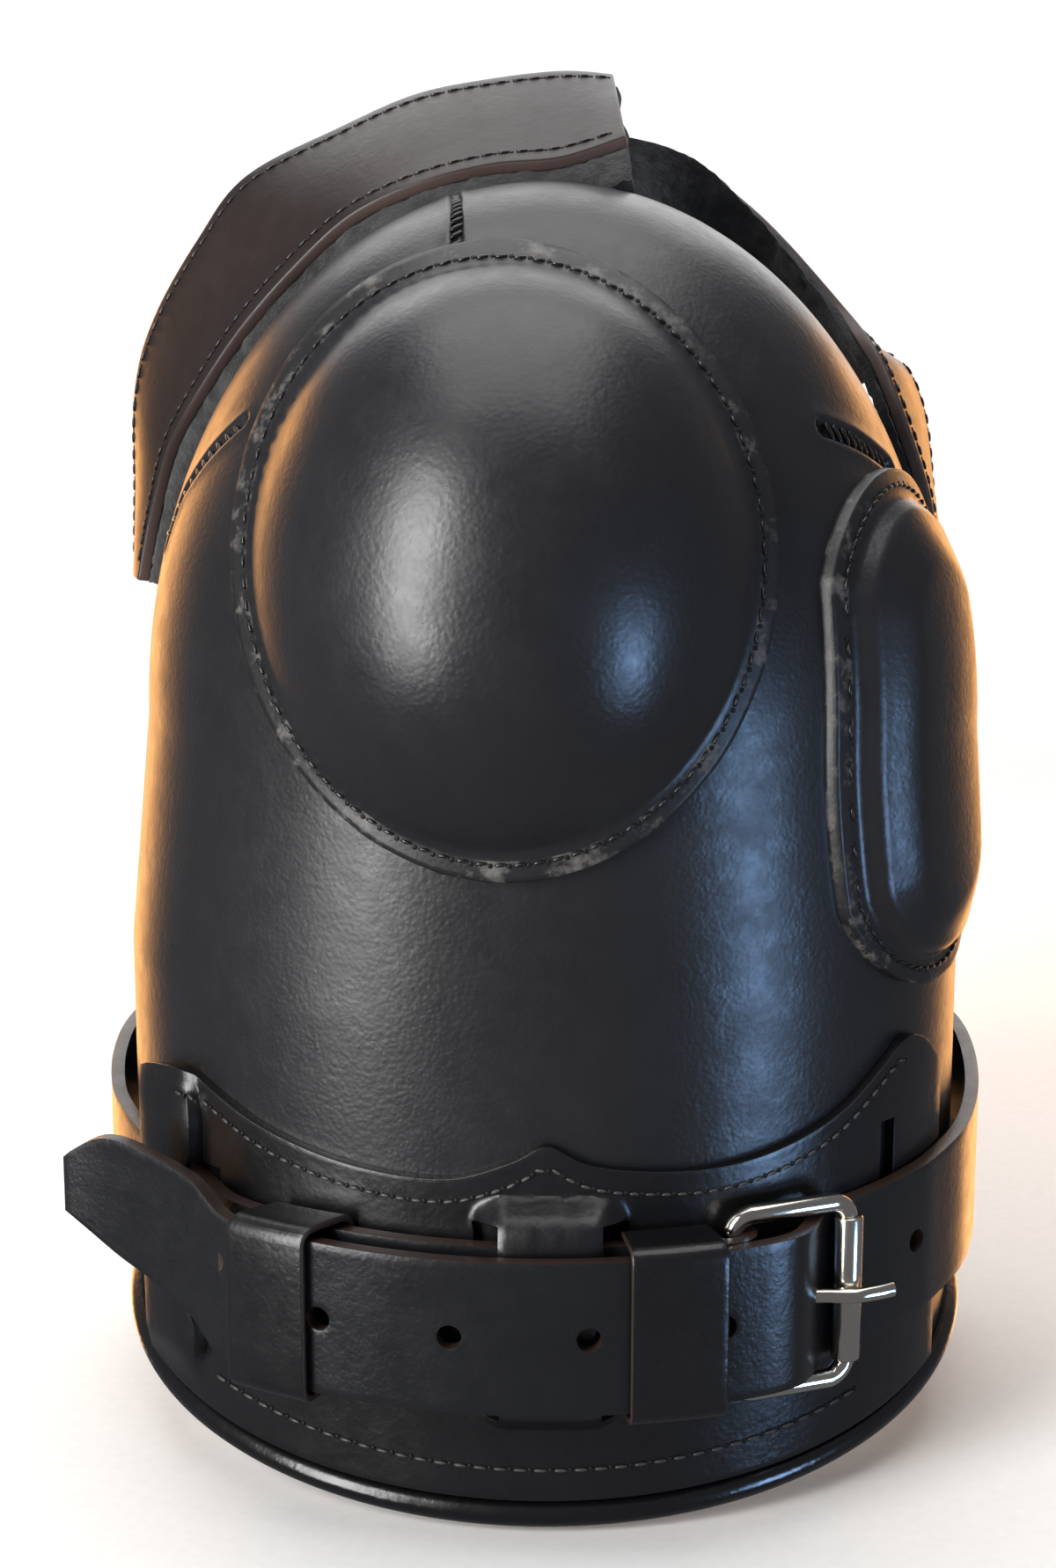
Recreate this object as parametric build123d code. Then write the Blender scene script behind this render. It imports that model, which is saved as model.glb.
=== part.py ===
"""Strap-on leather knee guard, worn upright on the leg, in millimetres.

+Z runs up the leg from ankle to thigh, +X is to the right of someone who faces the guard, and the
front of the guard faces -Y. The origin is on the leg's axis at the height of the knee joint.
"""

import os
from math import cos, hypot, pi, radians, sin, sqrt

from build123d import *

# ---- moulded body -----------------------------------------------------------------------------
KNEE_HALF_WIDTH = 86.0  # half the outer width at the knee
CALF_HALF_WIDTH = 91.0  # half the outer width at the calf
FRONT_DEPTH = 80.0  # from the leg's axis to the outside of the shin
CAP_CENTRE_Z = -50.0  # above this the body closes like a cap over the bent knee
CAP_HEIGHT = 112.0
CALF_Z = -100.0  # below this the body has its full calf width
SIDE_EDGE_Y = 35.0  # how far back the side walls reach
RIM_SIDE_Z = -25.0  # where the side edges turn into the upper rim
RIM_TOP_Y = 2.0  # how far back the rim reaches at its crown
RIM_TOP_Z = CAP_CENTRE_Z + CAP_HEIGHT
TOE_Z = -199.0  # lower edge at the front
HEEL_Z = -170.0  # lower edge at the back of the side walls
LEATHER = 3.0
FOAM = 8.0
FELT = 2.0
WALL = LEATHER + FOAM + FELT
PIPING = 5.6
PIPING_OFFSET = 3.2
BINDING = 2.4
BINDING_OFFSET = 1.0
FAR = 300.0

# Each dart is a slot through the shell: its middle, its turn, and its length, reach and gap.
TOP_DART = ((-18, 0, 60), (0, 0, 0), (1.6, 44, 60))
RIGHT_DART = ((62, -50, 11), (0, 35, 30), (19, 30, 1.6))
LEFT_DART = ((-69.5, -46, 2), (0, -57, -30), (26, 30, 0.8))

# ---- raised pads ------------------------------------------------------------------------------
COVER = 2.5  # leather of the pads and of the lower band
DOME_X = -9.0
DOME_Z = -8.5
DOME_HALF_WIDTH = 54.0
DOME_HALF_HEIGHT = 60.0
BOWL_AT = (-6.7, -37.5, -17.3)  # the bowl is part of an ellipsoid with its middle here
BOWL_SHAPE = (54.5, 60.9, 64.9)
BOWL_LEAN = 15.7  # degrees that the bowl faces upwards
SIDE_PAD_ANGLE = 33.0  # degrees that the side pad faces forward of +X
SIDE_PAD_AT = (75.8, -35.1, -48.0)
SIDE_PAD_HEIGHT = 106.0
SIDE_PAD_WIDTH = 66.0
SIDE_PAD_RISE = 8.5
SIDE_PAD_FLANGE = 6.0

# ---- lower band with its slots ----------------------------------------------------------------
BAND_CREST = [(-88, -128), (-84, -121), (-77, -117.5), (-71.5, -118), (-57.5, -124.5), (-39, -129)]
BAND_CREST += [(-20, -130), (-7, -126), (0, -122.5), (7, -126), (16, -128), (32, -129), (46, -127)]
BAND_CREST += [(59, -122), (69, -114), (73.5, -110.5), (78, -113), (82, -120)]
BRIDGE_LEFT, BRIDGE_RIGHT = -9.0, 10.5
SLOT_WIDTH = 5.0
SLOT_TOP, SLOT_BOTTOM = -138.0, -178.0
BRIDGE_OFFSET = 7.9  # clear of the strap that runs behind it
BRIDGE_THICK = 2.2
TAB_OFFSET = 3.6  # the left tab stands over the strap
TAB_FROM, TAB_TO = -66.0, -51.0  # degrees round the front
LEFT_SLOT_TO = -44.0
RIGHT_SLOT = (46.5, 49.5)

# ---- calf strap -------------------------------------------------------------------------------
STRAP_WIDTH = 32.0
STRAP = 3.0
STRAP_FRONT_Z = -158.0  # middle of the strap at the front
STRAP_FRONT_Y = -92.0
STRAP_RISE = 0.08  # the strap climbs this much for each millimetre towards the back
CHAPE_OFFSET = 6.1  # middle of the layer that carries the buckle
BILLET_OFFSET = 13.1  # middle of the layer with the holes
UNDER_OFFSET = 4.3  # middle of the strap where it lies on the band
BEHIND_OFFSET = 1.8  # middle of the strap behind the left tab
BILLET_END = -38.5  # degrees: where the strap's own curve hands over to the free tip
HOLE_DIAMETER = 5.0
HOLE_ANGLES = [-25.5, -10.5, 4.5, 19.5, 53.5]
TIP_PATH = [(-38.6, 13.1), (-44, 13.6), (-50, 15.6), (-56, 19.5), (-60, 24.0)]
TIP_OUTLINE = [(-63, -139.5), (-70, -134.5), (-88, -129.5), (-97, -133), (-102.5, -137)]
TIP_OUTLINE += [(-102.5, -146), (-89, -154), (-79, -159), (-70, -165), (-63, -172)]
TIP_HOLE = (-69.5, -150.0)

# ---- buckle and keepers -----------------------------------------------------------------------
WIRE = 4.0
RUNNING_FIT = 0.08
HEEL_ANGLE, HEEL_OFFSET = 22.2, 6.6
ROLLER_ANGLE, ROLLER_OFFSET = 37.6, 9.2
FRAME_HALF_HEIGHT = 19.0  # between wire centres and the strap's middle
ROLLER_DIAMETER = 6.0
ROLLER_LENGTH = 31.0
PRONG = 3.0
KEEPER = 1.5
KEEPER_BACK = 2.8
KEEPER_FRONT = 15.2
KEEPER_PLAY = 1.3
LEFT_KEEPER = (-36.5, -26.5)
RIGHT_KEEPER = (8.8, 19.4)

# ---- thigh wings ------------------------------------------------------------------------------
WING_LEATHER = 3.0
LEFT_LINING = 5.0
RIGHT_LINING = 2.6
# Each station is the front edge and then the back edge of the strip, between leather and lining.
LEFT_WING = [
    ((-89.6, 31, -28), (-91.5, 42, -28)),
    ((-86.6, 30, -14), (-91.5, 45, -8)),
    ((-81.8, 26, 2), (-91.2, 45, 14)),
    ((-74.8, 21, 14), (-86.5, 45, 30)),
    ((-64.5, 16, 28.5), (-76.0, 45, 47.5)),
    ((-52.2, 12, 42), (-65.5, 45, 60.5)),
    ((-40.0, 9, 52.6), (-45.0, 45, 70.5)),
    ((-25.6, 7, 59.2), (-28.5, 45, 77.5)),
    ((-11.0, 7, 62.8), (-13.0, 45, 80.7)),
    ((3.7, 7, 64.2), (4.0, 45, 82.6)),
    ((17.5, 8, 68.5), (15.5, 44, 81.7)),
]
RIGHT_WING = [
    ((87.6, 30, -27), (88.3, 45, -27.5)),
    ((83.2, 23, -8), (87.0, 47, -10)),
    ((77.2, 19, 8), (84.5, 48, 10)),
    ((72.0, 27, 22), (77.5, 47, 19)),
    ((66.0, 40, 33), (61.0, 49, 12)),
    ((55.0, 45, 46.5), (46.0, 51, 22)),
    ((45.5, 46, 56), (34.0, 50, 32)),
    ((34.0, 46, 65), (25.0, 40, 42)),
    ((21.0, 46, 68.5), (17.5, 26, 51.0)),
    ((6.5, 46, 69.5), (5.0, 14, 54.0)),
]
HOOK_PATCH = 0.8
PATCH_GAP = 0.6

STITCH = 0.8
STITCH_LENGTH = 2.6
STITCH_STAND = 0.15
DOME_ROW = 2.4  # from the flange's edge to its stitching
PAD_ROW = 3.0
TOE_ROW = 7.5  # from the lower edge to its stitching, at the front
TOE_ROW_CLIMB = 2.6  # how much further off it is at the sides
DOME_STITCHES, CREST_STITCHES, TOE_STITCHES, PAD_STITCHES = 86, 42, 30, 62


def half_width(z):
    """Outer half width of the body at a height below the cap."""
    share = min(1.0, max(0.0, (CAP_CENTRE_Z - z) / (CAP_CENTRE_Z - CALF_Z)))
    return KNEE_HALF_WIDTH + share * (CALF_HALF_WIDTH - KNEE_HALF_WIDTH)


def lower_edge(y):
    """Height of the slanting lower edge at a depth."""
    return TOE_Z + (y + FRONT_DEPTH) * (HEEL_Z - TOE_Z) / (FRONT_DEPTH + SIDE_EDGE_Y)


def u_face(z, offset):
    """The body's section at one height: half an ellipse in front and straight walls behind it."""
    a, b = half_width(z) + offset, FRONT_DEPTH + offset
    front = Plane.XY.offset(z) * Ellipse(a, b)
    return front + Plane.XY.offset(z) * Pos(0, FAR / 4) * Rectangle(2 * a, FAR / 2)


def core(offset):
    """Everything inside the body's outer surface, moved out by an offset."""
    a, b, h = KNEE_HALF_WIDTH + offset, FRONT_DEPTH + offset, CAP_HEIGHT + offset
    calf = extrude(u_face(CALF_Z, offset), -FAR / 2)
    knee = loft([u_face(CALF_Z, offset), u_face(CAP_CENTRE_Z, offset)], ruled=True)
    cap_room = Pos(0, -FAR / 2, FAR / 2) * Box(FAR, FAR, FAR)
    cap = Pos(0, 0, CAP_CENTRE_Z) * (scale(Sphere(1), by=(a, b, h)) & cap_room)
    arch_room = Pos(0, FAR / 2) * Rectangle(FAR, FAR)
    arch = Pos(0, 0, CAP_CENTRE_Z) * extrude(
        Plane.XZ * (Ellipse(a, h) & arch_room), -FAR / 2
    )
    return calf + knee + cap + arch


def side_prism(points):
    """A prism across the body from an outline given as (y, z)."""
    return extrude(Plane.YZ * make_face(Polyline(*points, close=True)), FAR, both=True)


def keep_room(back, drop=0.0):
    """Room for the body's own layers: in front of the side edges and rim, above the lower edge."""
    slope = (SIDE_EDGE_Y - RIM_TOP_Y) / (RIM_TOP_Z - RIM_SIDE_Z)
    top = 120.0
    front = -FAR / 2
    return side_prism(
        [
            (front, lower_edge(front) - drop),
            (front, top),
            (back - (top - RIM_SIDE_Z) * slope, top),
            (back, RIM_SIDE_Z),
            (back, lower_edge(back) - drop),
        ]
    )


def layer(outer, inner, room):
    """One even layer of the body between two offsets."""
    return (cores[outer] - cores[inner]) & room


def on_ring(angle, offset):
    """A point round the calf, by degrees from the front and an offset from the body."""
    a, b = CALF_HALF_WIDTH + offset, FRONT_DEPTH + offset
    return (a * sin(radians(angle)), -b * cos(radians(angle)))


def ring_normal(angle):
    nx, ny = sin(radians(angle)) * FRONT_DEPTH, -cos(radians(angle)) * CALF_HALF_WIDTH
    return (nx / hypot(nx, ny), ny / hypot(nx, ny))


def front_surface(x, z, offset=0.0):
    """Depth of the body's front surface, and its outward normal."""
    a = half_width(z) + offset
    b, h = FRONT_DEPTH + offset, CAP_HEIGHT + offset
    up = max(0.0, z - CAP_CENTRE_Z)
    y = -b * sqrt(max(0.001, 1 - (x / a) ** 2 - (up / h) ** 2))
    return y, Vector(x / a**2, y / b**2, up / h**2).normalized()


def strap_slab(clearance=0.0):
    """The band of height that the strap fills, which climbs towards the back."""
    half = STRAP_WIDTH / 2 + clearance

    def middle(y):
        return STRAP_FRONT_Z + (y - STRAP_FRONT_Y) * STRAP_RISE

    ends = (-FAR / 2, FAR / 2)
    return side_prism(
        [(ends[0], middle(ends[0]) - half), (ends[0], middle(ends[0]) + half)]
        + [(ends[1], middle(ends[1]) + half), (ends[1], middle(ends[1]) - half)]
    )


def strip(path, thick):
    """A standing strip of leather along a plan path, as tall as the whole strap zone."""
    left, right = [], []
    for i, (x, y) in enumerate(path):
        x0, y0 = path[max(0, i - 1)]
        x1, y1 = path[min(len(path) - 1, i + 1)]
        run = hypot(x1 - x0, y1 - y0)
        nx, ny = -(y1 - y0) / run * thick / 2, (x1 - x0) / run * thick / 2
        left.append((x + nx, y + ny))
        right.append((x - nx, y - ny))
    ends = [Line(left[0], right[0]), Line(left[-1], right[-1])]
    face = make_face([Spline(*left), Spline(*right)] + ends)
    return extrude(Plane.XY.offset(-200) * face, 90)


def ring(inner, outer, bottom, top, start, end):
    """Part of an even ring round the calf, between two angles and two heights."""
    a, b = CALF_HALF_WIDTH, FRONT_DEPTH
    flat = Ellipse(a + outer, b + outer) - Ellipse(a + inner, b + inner)
    reach = 400.0
    rays = [(reach * sin(radians(v)) * a / b, -reach * cos(radians(v))) for v in (start, end)]
    wedge = make_face(Polyline((0, 0), *rays, close=True))
    return extrude(Plane.XY.offset(bottom) * (flat & wedge), top - bottom)


def write(shape, name):
    """One file for each piece, holding only its solids."""
    solids = [s for s in shape.solids() if s.volume > 0.5]
    export_step(Compound(children=solids) if len(solids) > 1 else solids[0], f"parts/{name}.step")
    print(name, len(solids), round(sum(s.volume for s in solids) / 1000, 2), "cm3")


os.makedirs("parts", exist_ok=True)
OFFSETS = [0.0, -LEATHER, -LEATHER - FOAM, -WALL, COVER, SIDE_PAD_RISE, SIDE_PAD_RISE - COVER]
OFFSETS += [BINDING_OFFSET, PIPING_OFFSET]
cores = {o: core(o) for o in OFFSETS}
body_room = keep_room(SIDE_EDGE_Y)

# ---- shell, foam and felt ---------------------------------------------------------------------
shell = layer(0.0, -LEATHER, body_room)
for place, turn, size in (TOP_DART, RIGHT_DART, LEFT_DART):
    shell -= Pos(*place) * Rot(*turn) * Box(*size)
write(shell, "outer_shell")
write(layer(-LEATHER, -LEATHER - FOAM, body_room), "foam_padding")
write(layer(-LEATHER - FOAM, -WALL, body_room), "felt_lining")

# ---- piping along the lower edge, and bindings down the side edges -------------------------------
piping = (cores[PIPING_OFFSET] - cores[-LEATHER]) & (keep_room(SIDE_EDGE_Y, PIPING) - body_room)
write(piping, "edge_piping")
bindings = (cores[BINDING_OFFSET] - cores[-WALL]) & (
    side_prism(
        [
            (SIDE_EDGE_Y, lower_edge(SIDE_EDGE_Y)),
            (SIDE_EDGE_Y, RIM_SIDE_Z - 4),
            (SIDE_EDGE_Y + BINDING, RIM_SIDE_Z - 4),
            (SIDE_EDGE_Y + BINDING, lower_edge(SIDE_EDGE_Y)),
        ]
    )
)
for side, name in ((-1, "side_binding_left"), (1, "side_binding_right")):
    write(bindings & Pos(side * FAR / 2, 0, 0) * Box(FAR, FAR, 2 * FAR), name)

# ---- knee dome ----------------------------------------------------------------------------------
def front_oval(width, height):
    oval = Plane.XZ * Pos(DOME_X, DOME_Z) * Ellipse(width, height)
    return extrude(oval, FAR / 2)


dome_room = front_oval(DOME_HALF_WIDTH, DOME_HALF_HEIGHT)


def bowl(shrink):
    """The dome's round body, smaller all over by an amount."""
    shape = scale(Sphere(1), by=tuple(size - shrink for size in BOWL_SHAPE))
    return (Pos(*BOWL_AT) * Rot(-BOWL_LEAN, 0, 0) * shape) & dome_room


dome_foam = bowl(COVER) - cores[0.0]
write(dome_foam, "knee_dome_foam")
flange = ((cores[COVER] - cores[0.0]) & dome_room) - dome_foam
dome_cover = (bowl(0) - cores[0.0] - dome_foam) + flange
write(dome_cover, "knee_dome_cover")

# ---- side pad -----------------------------------------------------------------------------------
pad_plane = Plane(
    origin=SIDE_PAD_AT,
    x_dir=(sin(radians(SIDE_PAD_ANGLE)), cos(radians(SIDE_PAD_ANGLE)), 0),
    z_dir=(cos(radians(SIDE_PAD_ANGLE)), -sin(radians(SIDE_PAD_ANGLE)), 0),
)


def pad_prism(shrink):
    width, height = SIDE_PAD_WIDTH - 2 * shrink, SIDE_PAD_HEIGHT - 2 * shrink
    return extrude(pad_plane * SlotOverall(height, width, rotation=90), 60, both=True)


pad_foam = layer(SIDE_PAD_RISE - COVER, 0.0, pad_prism(SIDE_PAD_FLANGE + COVER) & body_room)
write(pad_foam, "side_pad_foam")
pad_cover = layer(SIDE_PAD_RISE, 0.0, pad_prism(SIDE_PAD_FLANGE) & body_room) - pad_foam
pad_cover += layer(COVER, 0.0, pad_prism(0) & body_room) - pad_foam
write(pad_cover, "side_pad_cover")

# ---- lower band ---------------------------------------------------------------------------------
crest = Spline(*BAND_CREST)
low = (BAND_CREST[-1][0], -230), (BAND_CREST[0][0], -230)
outline = make_face([crest, Polyline(BAND_CREST[-1], *low, BAND_CREST[0])])
band_prism = extrude(Plane.XZ * outline, FAR / 2)
band_room = band_prism & body_room
tab_z = (-200.0, -110.0)
left_end = ring(-1, 9, *tab_z, TAB_FROM - 10, TAB_TO - 1)
band = ((cores[COVER] - cores[0.0]) & band_room) - left_end
tab = ring(TAB_OFFSET, TAB_OFFSET + COVER, *tab_z, TAB_FROM, TAB_TO)
riser = ring(0, TAB_OFFSET + COVER, *tab_z, TAB_TO - 2, TAB_TO)
riser -= ring(-1, 9, SLOT_BOTTOM, SLOT_TOP + 2, TAB_TO - 3, TAB_TO + 1)
band += (tab + riser) & band_room
band -= ring(-1, 9, SLOT_BOTTOM, SLOT_TOP + 2, TAB_TO, LEFT_SLOT_TO)
band -= ring(-1, TAB_OFFSET, SLOT_BOTTOM, SLOT_TOP + 2, TAB_TO - 3, TAB_TO)
band -= ring(-1, 9, SLOT_BOTTOM + 10, SLOT_TOP + 11, *RIGHT_SLOT)
window = (BRIDGE_LEFT - SLOT_WIDTH, BRIDGE_RIGHT + SLOT_WIDTH)
band -= Pos(sum(window) / 2, -FRONT_DEPTH, (SLOT_TOP + SLOT_BOTTOM) / 2) * Box(
    window[1] - window[0], 30, SLOT_TOP - SLOT_BOTTOM
)
inner, outer = FRONT_DEPTH + BRIDGE_OFFSET, FRONT_DEPTH + BRIDGE_OFFSET + BRIDGE_THICK
root = FRONT_DEPTH - 0.2
bridge = side_prism(
    [
        (-root, SLOT_TOP + 4),
        (-root, SLOT_TOP + 0.5),
        (-inner, SLOT_TOP - 2.6),
        (-inner, SLOT_BOTTOM + 2.8),
        (-root, SLOT_BOTTOM - 0.5),
        (-root, SLOT_BOTTOM - 4),
        (-root - COVER, SLOT_BOTTOM - 4),
        (-outer, SLOT_BOTTOM + 1.2),
        (-outer, SLOT_TOP - 1.2),
        (-root - COVER, SLOT_TOP + 4),
    ]
)
bridge &= Pos((BRIDGE_LEFT + BRIDGE_RIGHT) / 2, 0, 0) * Box(BRIDGE_RIGHT - BRIDGE_LEFT, FAR, 2 * FAR)
band += bridge - cores[0.0]
write(band, "lower_band")

# ---- buckle place -------------------------------------------------------------------------------
heel = on_ring(HEEL_ANGLE, HEEL_OFFSET)
roller_at = on_ring(ROLLER_ANGLE, ROLLER_OFFSET)
frame_length = hypot(roller_at[0] - heel[0], roller_at[1] - heel[1])
along = ((roller_at[0] - heel[0]) / frame_length, (roller_at[1] - heel[1]) / frame_length)
buckle_z = STRAP_FRONT_Z + ((heel[1] + roller_at[1]) / 2 - STRAP_FRONT_Y) * STRAP_RISE
buckle = Plane(
    origin=(heel[0], heel[1], buckle_z), x_dir=(along[0], along[1], 0), z_dir=(0, 0, 1)
)  # local x runs from the heel bar to the roller, and local -y points away from the leg


def rod(start, end, diameter):
    """A round bar with round ends between two points of the buckle's own plane."""
    a, b = Vector(*start), Vector(*end)
    bar = Plane(origin=a, z_dir=(b - a)) * Cylinder(
        diameter / 2, (b - a).length, align=(Align.CENTER, Align.CENTER, Align.MIN)
    )
    return bar + Pos(*a) * Sphere(diameter / 2) + Pos(*b) * Sphere(diameter / 2)


# ---- calf strap: billet, right side, back, left side, chape -------------------------------------
path = [on_ring(v, BILLET_OFFSET) for v in range(-38, 28, 5)]
path += [on_ring(*p) for p in ((29, 12.4), (31.5, 9.8), (34, 6.6), (36.5, 4.8))]
path += [on_ring(v, UNDER_OFFSET) for v in (39, 43, 48, 53, 58)]
path += [(89.5, -29), (94.8, -10), (97.3, 12), (96.5, 32), (91, 49), (79, 60), (60, 65), (35, 67)]
path += [(0, 67.5), (-35, 67), (-60, 65), (-79, 60), (-91, 49), (-96.5, 32), (-97.3, 12)]
path += [(-94.8, -8), (-90.5, -21)]
path += [on_ring(v, BEHIND_OFFSET) for v in (-65, -60, -55)]
path += [on_ring(*p) for p in ((-52, 1.85), (-49.5, 2.3), (-47, 3.3), (-44.5, 4.6), (-41.5, 5.8))]
path += [on_ring(v, CHAPE_OFFSET) for v in (-38, -33, -28, -23, -18, -13, -8, -3, 2, 7, 12, 16, 20)]
strap = strip(path, STRAP) & strap_slab()
fold_outer, fold_height = WIRE / 2 + RUNNING_FIT + 1.9, STRAP_WIDTH
fold = buckle * Cylinder(fold_outer, fold_height)
strap += fold & strap_slab()
bore = buckle * Cylinder(WIRE / 2 + RUNNING_FIT, 60)
strap -= bore
strap -= buckle * Box(2 * fold_outer + 0.6, 14, 6.2)
for angle in HOLE_ANGLES:
    offset = BILLET_OFFSET if angle < 30 else UNDER_OFFSET
    x, y = on_ring(angle, offset)
    nx, ny = ring_normal(angle)
    z = STRAP_FRONT_Z + (y - STRAP_FRONT_Y) * STRAP_RISE
    strap -= Plane(origin=(x, y, z), z_dir=(nx, ny, 0)) * Cylinder(HOLE_DIAMETER / 2, 5)
strap -= buckle * Pos(17, -1, 0) * Box(9.5, 16, 4.8)
write(strap, "calf_strap")

tip_path = [on_ring(*p) for p in TIP_PATH]
tip_face = make_face(Polyline(*TIP_OUTLINE, close=True))
tip = strip(tip_path, STRAP) & extrude(Plane.XZ * tip_face, FAR / 2)
tip -= Pos(TIP_HOLE[0], 0, TIP_HOLE[1]) * Rot(90, 0, 0) * Cylinder(HOLE_DIAMETER / 2, FAR)
write(tip, "billet_tip")

# ---- roller buckle ------------------------------------------------------------------------------
h = FRAME_HALF_HEIGHT
corners = [(0, 0, -h), (0, 0, h), (frame_length, 0, h), (frame_length, 0, -h)]
frame = rod(corners[0], corners[1], WIRE)
for a, b in zip(corners[1:], corners[2:] + corners[:1]):
    frame += rod(a, b, WIRE)
write(buckle * frame, "buckle_frame")
roller = Cylinder(ROLLER_DIAMETER / 2, ROLLER_LENGTH) - Cylinder(WIRE / 2 + RUNNING_FIT, 60)
write(buckle * Pos(frame_length, 0, 0) * roller, "buckle_roller")
prong_points = [(2.2, -0.6, 0), (15, -1.2, 0), (23.5, -4.6, 0), (33.5, -4.9, 0)]
prong = Cylinder(WIRE / 2 + RUNNING_FIT + 1.5, 5)
for a, b in zip(prong_points, prong_points[1:]):
    prong += rod(a, b, PRONG)
prong -= Cylinder(WIRE / 2 + RUNNING_FIT, 60)
write(buckle * prong, "buckle_prong")

# ---- keepers ------------------------------------------------------------------------------------
for name, (start, end) in (("keeper_left", LEFT_KEEPER), ("keeper_right", RIGHT_KEEPER)):
    y = on_ring((start + end) / 2, BILLET_OFFSET)[1]
    z = STRAP_FRONT_Z + (y - STRAP_FRONT_Y) * STRAP_RISE
    inside = STRAP_WIDTH / 2 + KEEPER_PLAY
    outside = inside + KEEPER
    loop = ring(KEEPER_BACK, KEEPER_FRONT + KEEPER, z - outside, z + outside, start, end)
    loop -= ring(KEEPER_BACK + KEEPER, KEEPER_FRONT, z - inside, z + inside, start - 3, end + 3)
    write(loop, name)

# ---- thigh wings --------------------------------------------------------------------------------


def wing_layer(stations, start, end, flip, trim=0.0, steps=27):
    """A layer of a wing between two distances from its middle surface, on its leather side."""
    fronts = Spline(*[station[0] for station in stations])
    backs = Spline(*[station[1] for station in stations])
    middle = [(fronts @ (i / steps), backs @ (i / steps)) for i in range(steps + 1)]
    rings = []
    for i, (f, b) in enumerate(middle):
        before, after = middle[max(0, i - 1)], middle[min(steps, i + 1)]
        travel = after[0] + after[1] - before[0] - before[1]
        out = travel.cross(b - f).normalized() * (-1 if flip else 1)
        across = (b - f).normalized() * trim
        f, b = f + across, b - across
        rings.append([f + out * start, b + out * start, b + out * end, f + out * end])
    faces = [Face(Wire.make_polygon(rings[i], close=True)) for i in (0, steps)]
    for one, two in zip(rings, rings[1:]):
        for k in range(4):
            n = (k + 1) % 4
            for corners in ((one[k], one[n], two[n]), (one[k], two[n], two[k])):
                faces.append(Face(Wire.make_polygon(corners, close=True)))
    layer_solid = Solid(Shell(faces))
    return layer_solid if layer_solid.volume > 0 else Solid(Shell([-f for f in faces]))


write(wing_layer(LEFT_WING, 0, WING_LEATHER, False), "left_wing_leather")
write(wing_layer(LEFT_WING, 0, -LEFT_LINING, False), "left_wing_lining")
patch = [((1.0, 8, 64.3), (1.0, 45, 82.2)), LEFT_WING[-2], ((12.0, 8, 67.0), (12.0, 44, 82.0))]
patch_start = -LEFT_LINING - PATCH_GAP
write(wing_layer(patch, patch_start, patch_start - HOOK_PATCH, False, trim=5), "hook_patch")
write(wing_layer(RIGHT_WING, 0, WING_LEATHER, True), "right_wing_leather")
write(wing_layer(RIGHT_WING, 0, -RIGHT_LINING, True), "right_wing_lining")


# ---- stitching ----------------------------------------------------------------------------------


def stitch_row(points, normals, name):
    """One thread solid for each pair of points along a row."""
    stitches = []
    for i in range(0, len(points) - 1, 2):
        a, b = Vector(*points[i]), Vector(*points[i + 1])
        middle, run = (a + b) / 2, b - a
        normal = Vector(*normals[i])
        place = Plane(origin=middle + normal * (STITCH / 2 + STITCH_STAND), x_dir=run, z_dir=normal)
        stitches.append(place * Box(STITCH_LENGTH, STITCH, STITCH))
    write(Compound(children=stitches), name)


def front_row(curve, count, name, offset=COVER):
    points, normals = [], []
    for i in range(2 * count):
        x, z = curve(i / (2 * count))
        y, normal = front_surface(x, z, offset)
        points.append((x, y, z))
        normals.append(tuple(normal))
    stitch_row(points, normals, name)


def dome_curve(t):
    v = 2 * pi * t
    width, height = DOME_HALF_WIDTH - DOME_ROW, DOME_HALF_HEIGHT - DOME_ROW
    return DOME_X + width * sin(v), DOME_Z + height * cos(v)


front_row(dome_curve, DOME_STITCHES, "dome_stitching")


def crest_curve(t):
    point = crest @ (0.13 + 0.8 * t)
    return point.X * 0.985, point.Y - 5.0


front_row(crest_curve, CREST_STITCHES, "band_top_stitching")


def toe_curve(t):
    x = -64 + 120 * t
    y = front_surface(x, STRAP_FRONT_Z)[0]
    return x, lower_edge(y) + TOE_ROW + (x / CALF_HALF_WIDTH) ** 2 * TOE_ROW_CLIMB


front_row(toe_curve, TOE_STITCHES, "band_bottom_stitching")


def pad_row():
    points, normals = [], []
    straight = SIDE_PAD_HEIGHT - SIDE_PAD_WIDTH
    radius = SIDE_PAD_WIDTH / 2 - PAD_ROW
    total = 2 * straight + 2 * pi * radius
    for i in range(2 * PAD_STITCHES):
        s = total * i / (2 * PAD_STITCHES)
        if s < straight:
            u, v = radius, s - straight / 2
        elif s < straight + pi * radius:
            turn = (s - straight) / radius
            u, v = radius * cos(turn), straight / 2 + radius * sin(turn)
        elif s < 2 * straight + pi * radius:
            u, v = -radius, straight / 2 - (s - straight - pi * radius)
        else:
            turn = (s - 2 * straight - pi * radius) / radius
            u, v = -radius * cos(turn), -straight / 2 - radius * sin(turn)
        start = pad_plane.from_local_coords(Vector(u, v, 40))
        end = pad_plane.from_local_coords(Vector(u, v, -40))
        near, far = 0.0, 1.0
        for _ in range(30):
            middle = (near + far) / 2
            p = start + (end - start) * middle
            up = max(0.0, p.Z - CAP_CENTRE_Z) / (CAP_HEIGHT + COVER)
            wide, deep = half_width(p.Z) + COVER, FRONT_DEPTH + COVER
            inside = (p.X / wide) ** 2 + (min(p.Y, 0) / deep) ** 2 + up**2 < 1
            near, far = (near, middle) if inside else (middle, far)
        p = start + (end - start) * near
        normal = Vector(p.X / wide**2, min(p.Y, 0) / deep**2, up / (CAP_HEIGHT + COVER))
        points.append(tuple(p))
        normals.append(tuple(normal.normalized()))
    stitch_row(points, normals, "side_pad_stitching")


pad_row()
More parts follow.
